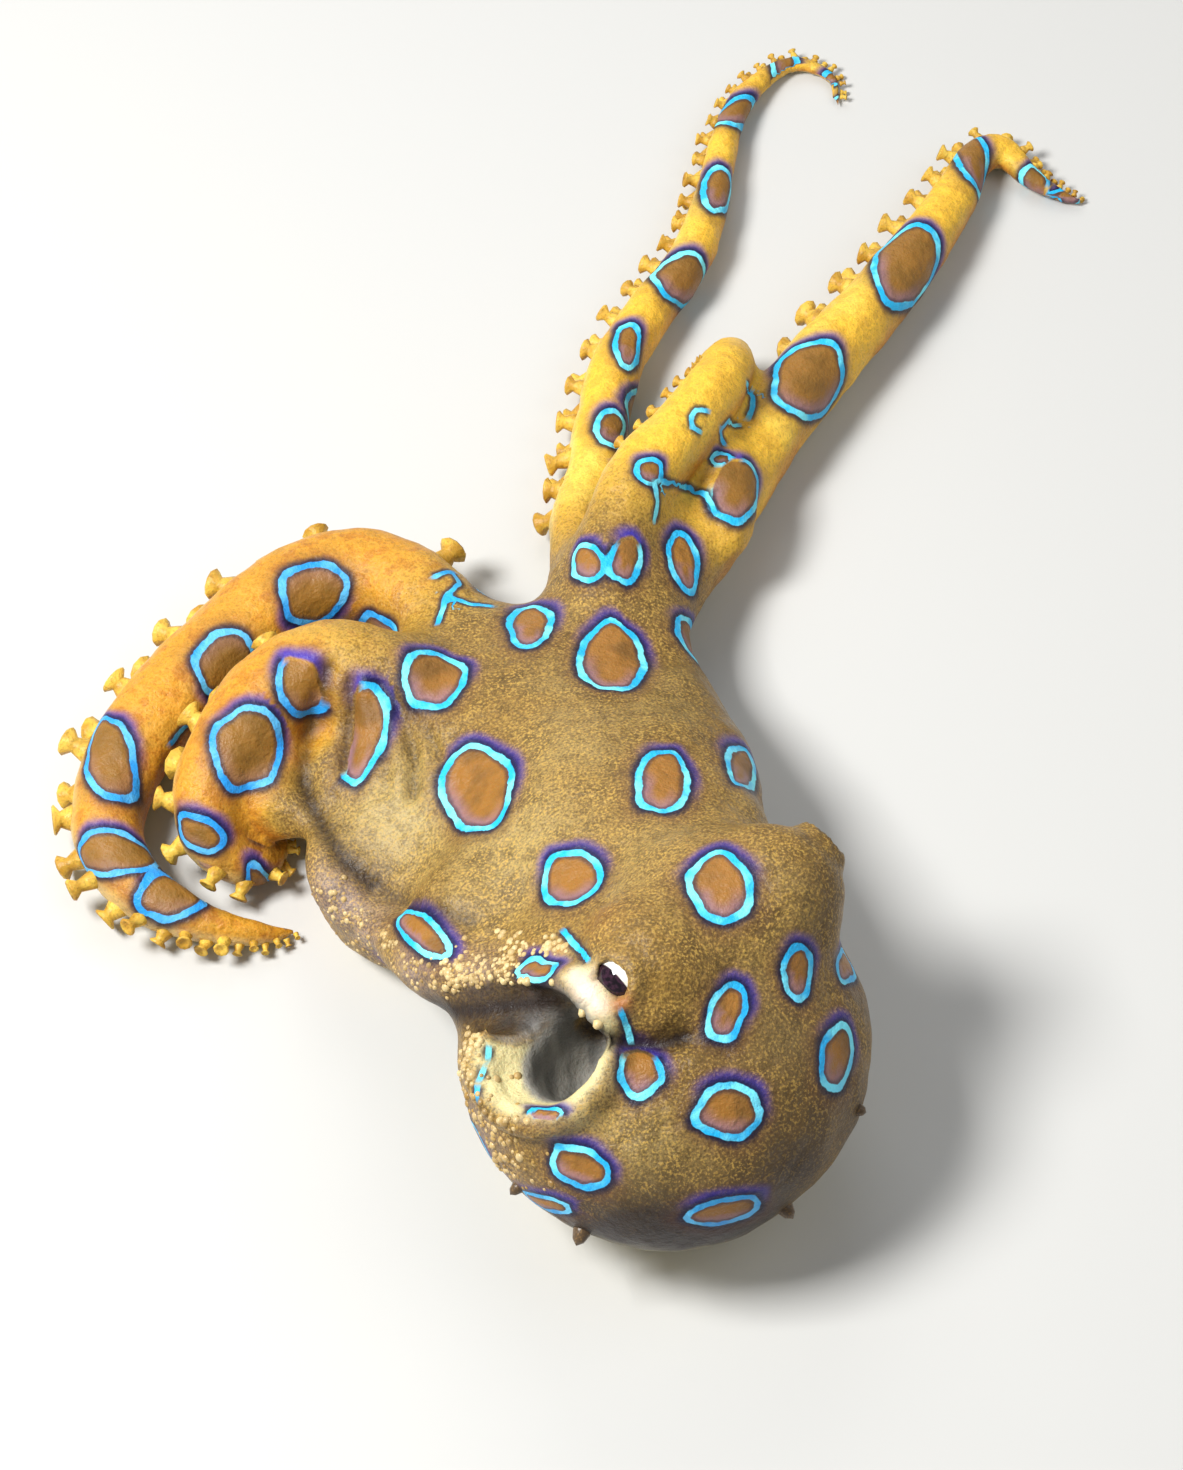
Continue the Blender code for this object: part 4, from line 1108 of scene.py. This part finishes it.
# Where the painted shade lies, the golden speckle is damped
shaded = add(nodes, MATH, {"operation": "MAXIMUM"}, {0: named["shade_brown"], 1: named["shade_mauve"]})
body_share = times(body_share, stepped(shaded, 1.2, 0.0))
ground = blended(times(stepped(mottling, 0.52, 0.38, 0.4), body_share), ground, GOLD_DARK)
dusky = times(body_share, stepped(named["sand_and_light"], 2.0, 0.0))
ground = blended(times(stepped(grain, 0.49, 0.38, 0.65), dusky), ground, GOLD_DARK)
gilded = add(nodes, RANGE, {}, {
    "Value": patches, "From Min": 0.36, "From Max": 0.62, "To Min": 0.5, "To Max": 1.0})
gilded = times(gilded, body_share)
ground = blended(times(stepped(grain, 0.51, 0.62, 0.85), gilded), ground, GOLD_LIGHT)
ground = blended(stepped(named["pale"], 0.3, 1.0, 0.6), ground, CREAM)
ground = blended(named["blush"], ground, BLUSH)
ground = blended(named["rust"], ground, RUST)
stretched = add(nodes, "ShaderNodeMapping", {}, {"Vector": place, "Scale": (1.0, 0.25, 0.25)})
folds = add(nodes, NOISE, {}, {"Vector": stretched, "Scale": 1 / 0.0013, "Detail": 1.0})
inside = blended(stepped(folds, 0.40, 0.62, 0.6), INSIDE_GREY, "#aca79c")
ground = blended(named["inner"], ground, inside)
wobble = add(nodes, NOISE, {}, {"Vector": place, "Scale": 1 / 0.0009, "Detail": 2.0})
wobble = add(nodes, MATH, {"operation": "MULTIPLY_ADD"}, {0: wobble, 1: 0.30, 2: -0.15})
ring = add(nodes, MATH, {"operation": "ADD"}, {0: named["ring_mm"], 1: wobble})
across = add(nodes, MATH, {"operation": "ABSOLUTE"}, {0: ring})
spot = blended(stepped(patches, 0.45, 0.70, 0.5), SPOT_BROWN, GOLD_DARK)
lilac = times(stepped(named["ring_up"], 0.2, -0.8, 0.7), stepped(ring, -1.8, -0.5))
spot = blended(times(named["yellow"], 0.45), spot, OLIVE)
lilac = times(lilac, stepped(named["amber"], 1.6, 0.0))
spot = blended(lilac, spot, SPOT_LILAC)
spot = blended(stepped(grain, 0.5, 0.7, 0.35), spot, GOLD)
ground = blended(stepped(ring, 2.4, 0.4, 0.4), ground, HAZE)
halo = times(stepped(named["ring_up"], -0.1, 0.9, 0.9), stepped(ring, 1.6, 0.3))
halo = times(halo, stepped(ring, 0.0, 0.3))
colour = blended(halo, ground, HALO_VIOLET)
# Painted shade in the creases and the gape
colour = blended(named["dark"], colour, PAINTED_CREASE_SHADE)
drawn = stepped(named["ring_on"], 0.0, 0.8)
edge = times(times(stepped(ring, 1.05, 0.35), stepped(ring, 0.0, 0.2)), drawn)
colour = blended(times(edge, 0.92), colour, EDGE_NAVY)
colour = blended(stepped(ring, -0.1, -0.3), colour, spot)
inner_edge = times(stepped(ring, -0.75, -0.35), stepped(ring, -0.1, -0.25))
colour = blended(times(times(inner_edge, 0.65), drawn), colour, EDGE_NAVY)
thickness = add(nodes, RANGE, {}, {
    "Value": mottling, "From Min": 0.35, "From Max": 0.65, "To Min": 0.07, "To Max": -0.05})
across = add(nodes, MATH, {"operation": "ADD"}, {0: across, 1: thickness})
line = times(stepped(across, LINE_WIDTH / 2 + 0.05, LINE_WIDTH / 2 - 0.05), named["ring_on"])
blue = blended(stepped(patches, 0.42, 0.62), LINE_BLUE, LINE_LIGHT)
# Painted shade: the blue lines turn deeper blue on the left arms and under the painted shade of the
# body
line_shade = add(nodes, MATH, {"operation": "MAXIMUM"}, {0: named["amber"], 1: shaded})
blue = blended(times(line_shade, 0.55), blue, LINE_SHADED_BLUE)
colour = blended(line, colour, blue)
stroke = add(nodes, MATH, {"operation": "ADD"}, {0: named["stroke_mm"], 1: wobble})
stroke = add(nodes, MATH, {"operation": "ABSOLUTE"}, {0: stroke})
colour = blended(times(stepped(stroke, 0.75, 0.30, 0.85), named["stroke_on"]), colour, EDGE_NAVY)
stroke_line = stepped(stroke, STROKE_WIDTH / 2 + 0.05, STROKE_WIDTH / 2 - 0.05)
colour = blended(times(stroke_line, named["stroke_on"]), colour, blue)
nodes.links.new(colour, shader.inputs["Base Color"])
sheen = stepped(patches, 0.3, 0.7)
roughness = add(nodes, RANGE, {}, {"Value": sheen, "To Min": 0.34, "To Max": 0.50})
nodes.links.new(roughness, shader.inputs["Roughness"])
wrinkles = add(nodes, NOISE, {}, {"Vector": place, "Scale": 1 / 0.0011, "Detail": 4.0})
bump = add(nodes, "ShaderNodeBump", {}, {"Height": wrinkles, "Strength": 0.7, "Distance": 0.0004})
bump = add(nodes, "ShaderNodeBump", {}, {
    "Height": grain, "Strength": 0.45, "Distance": 0.0002, "Normal": bump})
nodes.links.new(bump, shader.inputs["Normal"])
shader.inputs["IOR"].default_value = 1.4
shader.inputs["Subsurface Weight"].default_value = 0.06
shader.inputs["Subsurface Scale"].default_value = 0.001
skin.data.materials.clear()
skin.data.materials.append(skin_finish)
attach(skin, "root")
flesh = [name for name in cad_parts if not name.startswith("eye_")]
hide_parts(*flesh)


# Suckers
# Two alternating rows of suckers run along every arm. Each is a small muscular cup
# with a flared rim on a short stalk, cream to yellow, and grips the ground.
SUCKER_SPACING = 0.80
SUCKER_RIM = 0.42
SUCKER_HEIGHT = 0.60
SUCKER_SMALLEST = 0.28
SUCKER_WIDEST = 1.4
SUCKER_TALLEST = 1.8
SUCKER_CLOSEST = 1.0
SUCKER_ROW_ANGLE = 13.0
SUCKER_TIP_ROLL = 88.0
SUCKER_SIDES = 10
# Height and width of the stalk, rim and cup, as shares of the height and the rim
SUCKER_PROFILE = [(-0.5, 1.0), (0.10, 0.74), (0.55, 0.52), (0.88, 0.98), (1.0, 0.86), (0.84, 0.52)]
CUP_BOTTOM = 0.68


def stamped(name, places, loops_of, bottom_of):
    """Many copies of one turned shape, each at its own place, as one mesh."""
    pieces_points, faces, start = [], [], 0
    for item in places:
        loops = loops_of(item)
        count = len(loops[0])
        pieces_points += [p for loop in loops for p in loop]
        for ring in range(len(loops) - 1):
            for k in range(count):
                near, far = start + ring * count, start + (ring + 1) * count
                step = (k + 1) % count
                faces.append([near + k, near + step, far + step, far + k])
        first, last = start, start + (len(loops) - 1) * count
        pieces_points.append(bottom_of(item))
        top = start + len(loops) * count
        faces += [[last + k, last + (k + 1) % count, top] for k in range(count)]
        faces.append([first + k for k in reversed(range(count))])
        start = top + 1
    obj = mesh_object(name, pieces_points, faces)
    obj.data.shade_smooth()
    return obj


def sucker_loops(item):
    """The loops of one sucker."""
    base, out, tangent, height, rim, _ = item
    across = np.cross(out, tangent)
    loops = []
    for up, wide in SUCKER_PROFILE:
        turns = [2 * math.pi * k / SUCKER_SIDES for k in range(SUCKER_SIDES)]
        loops.append([
            base + up * height * out + wide * rim * (math.cos(a) * tangent + math.sin(a) * across)
            for a in turns])
    return loops


sucker_places = []
dice = np.random.default_rng(7)
for arm in arms.values():
    s = arm.first_sucker
    row = 1
    while s < arm.length - 0.4:
        radius = arm.radius(s)
        t = s / arm.length
        roll = abs(arm.roll) + (SUCKER_TIP_ROLL - abs(arm.roll)) * t**2
        out = arm.skin_direction(s, math.copysign(roll, arm.roll) + row * SUCKER_ROW_ANGLE)
        rim = np.clip(SUCKER_RIM * radius, SUCKER_SMALLEST, SUCKER_WIDEST) * dice.uniform(0.85, 1.1)
        height = np.clip(SUCKER_HEIGHT * radius, SUCKER_SMALLEST, SUCKER_TALLEST)
        rim *= arm.sucker_size
        height *= arm.sucker_size * dice.uniform(0.75, 1.2)
        base = arm.centre(s) + out * radius
        base[2] = max(base[2], rim * 0.9)
        lean = out + dice.normal(0, 0.16, 3)
        lean /= np.linalg.norm(lean)
        tangent = arm.frame(s)[0]
        tangent = tangent - lean * (tangent @ lean)
        tangent /= np.linalg.norm(tangent)
        sucker_places.append((base, lean, tangent, height, rim, arm))
        row = -row
        s += SUCKER_SPACING * max(radius, SUCKER_CLOSEST) * arm.sucker_size
suckers = stamped(
    "suckers", sucker_places, sucker_loops,
    lambda item: item[0] + CUP_BOTTOM * item[3] * item[1])
move_points(suckers, points_of(suckers))

sucker_finish = bpy.data.materials.new("sucker_flesh")
sucker_finish.use_nodes = True
nodes = sucker_finish.node_tree
shader = nodes.nodes["Principled BSDF"]
place = add(nodes, "ShaderNodeTexCoord", {}, {}, 3)
patches = add(nodes, NOISE, {}, {"Vector": place, "Scale": 1 / 0.0016, "Detail": 3.0})
grain = add(nodes, NOISE, {}, {"Vector": place, "Scale": 1 / 0.00025, "Detail": 2.0})
colour = blended(stepped(patches, 0.35, 0.65), "#b88a2c", "#e6bd4c")
colour = blended(stepped(grain, 0.5, 0.7, 0.4), colour, "#7a5a1e")
nodes.links.new(colour, shader.inputs["Base Color"])
roughness = add(nodes, RANGE, {}, {"Value": patches, "To Min": 0.35, "To Max": 0.55})
nodes.links.new(roughness, shader.inputs["Roughness"])
bump = add(nodes, "ShaderNodeBump", {}, {"Height": grain, "Strength": 0.4, "Distance": 0.0002})
nodes.links.new(bump, shader.inputs["Normal"])
shader.inputs["IOR"].default_value = 1.4
shader.inputs["Subsurface Weight"].default_value = 0.08
shader.inputs["Subsurface Scale"].default_value = 0.001
suckers.data.materials.append(sucker_finish)
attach(suckers, "root")


# Pustules and papillae
# Firm grains of skin stand along the web's free edge, round the opening and on the
# mantle's left side, with a few pointed papillae low on the mantle. Each is a small
# dome or cone pressed into the skin.
GRAIN_LINES = {  # pixels along the line, spread in pixels, number, radii in mm, paleness
    "web_edge": ([(318, 890), (345, 922), (395, 958), (443, 980), (500, 982)], 12, 190,
                 (0.12, 0.28), 0.5),
    "web_edge_near": ([(430, 962), (480, 970), (552, 966)], 11, 130, (0.12, 0.30), 0.7),
    "web_edge_large": ([(440, 980), (480, 984), (548, 984)], 6, 34, (0.24, 0.38), 0.8),
    "eye_corner": ([(500, 945), (545, 946), (558, 956)], 8, 42, (0.16, 0.36), 0.8),
    "opening_rim": ([(478, 1030), (462, 1056), (464, 1090)], 5, 60, (0.14, 0.32), 0.7),
    "mantle_side": ([(470, 1100), (486, 1140), (512, 1182)], 17, 170, (0.16, 0.42), 0.35),
    "mantle_low": ([(500, 1190), (545, 1222)], 14, 30, (0.14, 0.30), 0.2),
}
PAPILLAE = {  # pixel, then radius and height in mm
    "low_left": (505, 1200, 0.5, 0.8),
    "low_middle": (582, 1240, 0.7, 1.2),
    "low_right": (788, 1208, 0.65, 1.0),
    "right": (868, 1110, 0.5, 0.6),
    "under_cheek": (583, 1012, 0.35, 0.5),
    "cheek_edge": (598, 1024, 0.4, 0.5),
}
GRAIN_SIDES = 8
GRAIN_CLEARANCE = 0.4
# Height and width of a dome, as shares of its height and radius
GRAIN_PROFILE = [(-0.9, 1.15), (0.1, 1.0), (0.65, 0.68)]


def grain_loops(item):
    """The loops of one dome or cone."""
    base, out, radius, height = item
    side = np.cross(out, [0.0, 0.6, 0.8])
    side /= np.linalg.norm(side)
    other = np.cross(out, side)
    turns = [2 * math.pi * k / GRAIN_SIDES for k in range(GRAIN_SIDES)]
    return [
        [base + up * height * out + wide * radius * (math.cos(a) * side + math.sin(a) * other)
         for a in turns]
        for up, wide in GRAIN_PROFILE]


grain_places = []
dice = np.random.default_rng(31)
paleness = []
for line, spread, number, radii, shade in GRAIN_LINES.values():
    route = np.array(line, float)
    steps = np.concatenate([[0.0], np.cumsum(np.linalg.norm(np.diff(route, axis=0), axis=1))])
    for _ in range(number):
        reach = dice.uniform(0, steps[-1])
        x = np.interp(reach, steps, route[:, 0]) + dice.normal(0, spread)
        y = np.interp(reach, steps, route[:, 1]) + dice.normal(0, spread)
        hit = seen(tree, x, y)
        radius = radii[0] + (radii[1] - radii[0]) * dice.random() ** 2
        height = radius * dice.uniform(0.4, 0.85)
        tint = shade + dice.uniform(-0.35, 0.35)
        if hit is not None:
            beside = np.argmin(((points - hit[0]) ** 2).sum(1))
            if ring_mm[beside] > GRAIN_CLEARANCE and dark[beside] < 0.7:
                grain_places.append((*hit, radius, height))
                paleness.append(tint)
for x, y, radius, height in PAPILLAE.values():
    hit = seen(tree, x, y, 30)
    grain_places.append((*hit, radius, height))
    # The tall papillae low on the mantle get the dark tone as painted shade, like the shaded skin
    # round them
    paleness.append(0.9 if height < 0.6 else -1.0)
grains = stamped("pustules", grain_places, grain_loops, lambda item: item[0] + item[3] * item[1])
layer = grains.data.attributes.new("paleness", "FLOAT", "POINT")
each = len(grains.data.vertices) // len(paleness)
layer.data.foreach_set("value", np.repeat(np.clip(paleness, -1, 1), each).astype(np.float32))

grain_finish = bpy.data.materials.new("pustule_skin")
grain_finish.use_nodes = True
nodes = grain_finish.node_tree
shader = nodes.nodes["Principled BSDF"]
place = add(nodes, "ShaderNodeTexCoord", {}, {}, 3)
patches = add(nodes, NOISE, {}, {"Vector": place, "Scale": 1 / 0.0009, "Detail": 2.0})
fine = add(nodes, NOISE, {}, {"Vector": place, "Scale": 1 / 0.00015, "Detail": 2.0})
shade = add(nodes, "ShaderNodeAttribute", {"attribute_name": "paleness"}, {}, 2)
colour = blended(stepped(patches, 0.40, 0.62), "#8a6a36", "#b08c48")
colour = blended(shade, colour, "#dcc48e")
# Painted shade on the tall papillae
colour = blended(stepped(shade, -0.4, -0.9), colour, "#5a4834")
colour = blended(stepped(fine, 0.5, 0.7, 0.4), colour, "#a8824c")
nodes.links.new(colour, shader.inputs["Base Color"])
roughness = add(nodes, RANGE, {}, {"Value": patches, "To Min": 0.22, "To Max": 0.38})
nodes.links.new(roughness, shader.inputs["Roughness"])
bump = add(nodes, "ShaderNodeBump", {}, {"Height": fine, "Strength": 0.3, "Distance": 0.0001})
nodes.links.new(bump, shader.inputs["Normal"])
shader.inputs["IOR"].default_value = 1.4
grains.data.materials.append(grain_finish)
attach(grains, "root")


# Eyes
# Each eyeball is a wet globe under a clear cornea, with a dark slit pupil that stays
# level. Round the pupil the globe is painted near white, a painted reflection of the
# light. Only a small window of it shows in the lid.
PUPIL_HALF = (1.9, 1.2)
PUPIL_PLACE = (0.12, -0.40)
PUPIL_TILT = math.radians(14.0)
CORNEA_BULGE = 0.16


def eyeball(name, node, mound, way, mirror):
    """One eyeball in its socket, with its pupil marked by distance in millimetres."""
    centre = mound + way * EYE_DEPTH
    eye = ball(name, centre, [EYE_RADIUS] * 3, way, 64, 48)
    local = points_of(eye) - np.array(centre)
    front = local @ np.array(way) / EYE_RADIUS
    bulge = CORNEA_BULGE * smooth_step(0.55, 0.95, front)
    move_points(eye, points_of(eye) + bulge[:, None] * np.array(way))
    eye.data.shade_smooth()
    side = np.cross([0.0, 0.0, 1.0], np.array(way)) * mirror
    side /= np.linalg.norm(side)
    up = np.cross(np.array(way), side) * mirror
    across, height = local @ side - PUPIL_PLACE[0], local @ up - PUPIL_PLACE[1]
    along = (across * math.cos(PUPIL_TILT) - height * math.sin(PUPIL_TILT)) / PUPIL_HALF[0]
    over = (across * math.sin(PUPIL_TILT) + height * math.cos(PUPIL_TILT)) / PUPIL_HALF[1]
    values = np.sqrt(along**2 + over**2) + 3.0 * (1 - smooth_step(0.0, 0.3, front))
    layer = eye.data.attributes.new("pupil", "FLOAT", "POINT")
    layer.data.foreach_set("value", values.astype(np.float32))
    eye.data.materials.append(eye_finish)
    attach(eye, "root")
    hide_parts(node)


eye_finish = bpy.data.materials.new("wet_eye")
eye_finish.use_nodes = True
nodes = eye_finish.node_tree
shader = nodes.nodes["Principled BSDF"]
place = add(nodes, "ShaderNodeTexCoord", {}, {}, 3)
pupil = add(nodes, "ShaderNodeAttribute", {"attribute_name": "pupil"}, {}, 2)
flecks = add(nodes, NOISE, {}, {"Vector": place, "Scale": 1 / 0.0003, "Detail": 3.0})
# Painted reflection: the globe round the pupil is near white
colour = blended(stepped(flecks, 0.45, 0.75, 0.5), "#fbf7ef", "#d9c7a6")
dark = blended(stepped(flecks, 0.35, 0.70), "#120810", "#3a2030")
colour = blended(stepped(pupil, 1.04, 0.96), colour, dark)
nodes.links.new(colour, shader.inputs["Base Color"])
shader.inputs["Roughness"].default_value = 0.07
shader.inputs["IOR"].default_value = 1.38
shader.inputs["Coat Weight"].default_value = 0.6
shader.inputs["Coat Roughness"].default_value = 0.03
eyeball("eyeball_left", "eye_left", LEFT_MOUND, LEFT_EYE_DIRECTION, 1)
eyeball("eyeball_right", "eye_right", RIGHT_MOUND, RIGHT_EYE_DIRECTION, -1)


# Floor, light and camera
# A plain pale table top under a large soft lamp from the upper left, like the flash
# in the photograph, with a weaker one from the right. The camera keeps the framing.
bpy.ops.mesh.primitive_plane_add(size=3.0, location=(0, 0, 0))
floor = bpy.context.object
floor.name = "floor"
floor_finish = bpy.data.materials.new("pale_floor")
floor_finish.use_nodes = True
floor_finish.node_tree.nodes["Principled BSDF"].inputs["Base Color"].default_value = linear("#c9c8c4")
floor_finish.node_tree.nodes["Principled BSDF"].inputs["Roughness"].default_value = 0.8
floor.data.materials.append(floor_finish)


def lamp(name, place, aim, size, power):
    """A soft square lamp turned toward a point."""
    data = bpy.data.lights.new(name, "AREA")
    data.shape = "SQUARE"
    data.size = size
    data.energy = power
    obj = bpy.data.objects.new(name, data)
    bpy.context.scene.collection.objects.link(obj)
    obj.location = place
    obj.rotation_euler = (Vector(aim) - Vector(place)).to_track_quat("-Z", "Y").to_euler()
    return obj


AIM = Vector(CAMERA_AIM) * MM
lamp("key", (-0.22, -0.02, 0.32), AIM, 0.12, 2.2)
lamp("fill", (0.30, 0.05, 0.30), AIM, 0.30, 0.35)
lamp("back", (-0.05, 0.40, 0.30), AIM, 0.25, 0.5)
world = bpy.data.worlds.new("studio")
bpy.context.scene.world = world
world.use_nodes = True
world.node_tree.nodes["Background"].inputs["Color"].default_value = linear("#e8ecf2")
world.node_tree.nodes["Background"].inputs["Strength"].default_value = 0.30
bpy.context.scene.view_settings.view_transform = "Standard"

camera_data = bpy.data.cameras.new("camera")
camera_data.lens = CAMERA_LENS
camera_data.sensor_width = FILM_HEIGHT
camera_data.clip_start = 0.01
camera_data.clip_end = 10.0
camera = bpy.data.objects.new("camera", camera_data)
bpy.context.scene.collection.objects.link(camera)
camera.location = Vector(CAMERA_PLACE) * MM
camera.rotation_euler = (math.pi / 2 - CAMERA_ELEVATION, 0.0, 0.0)
bpy.context.scene.camera = camera
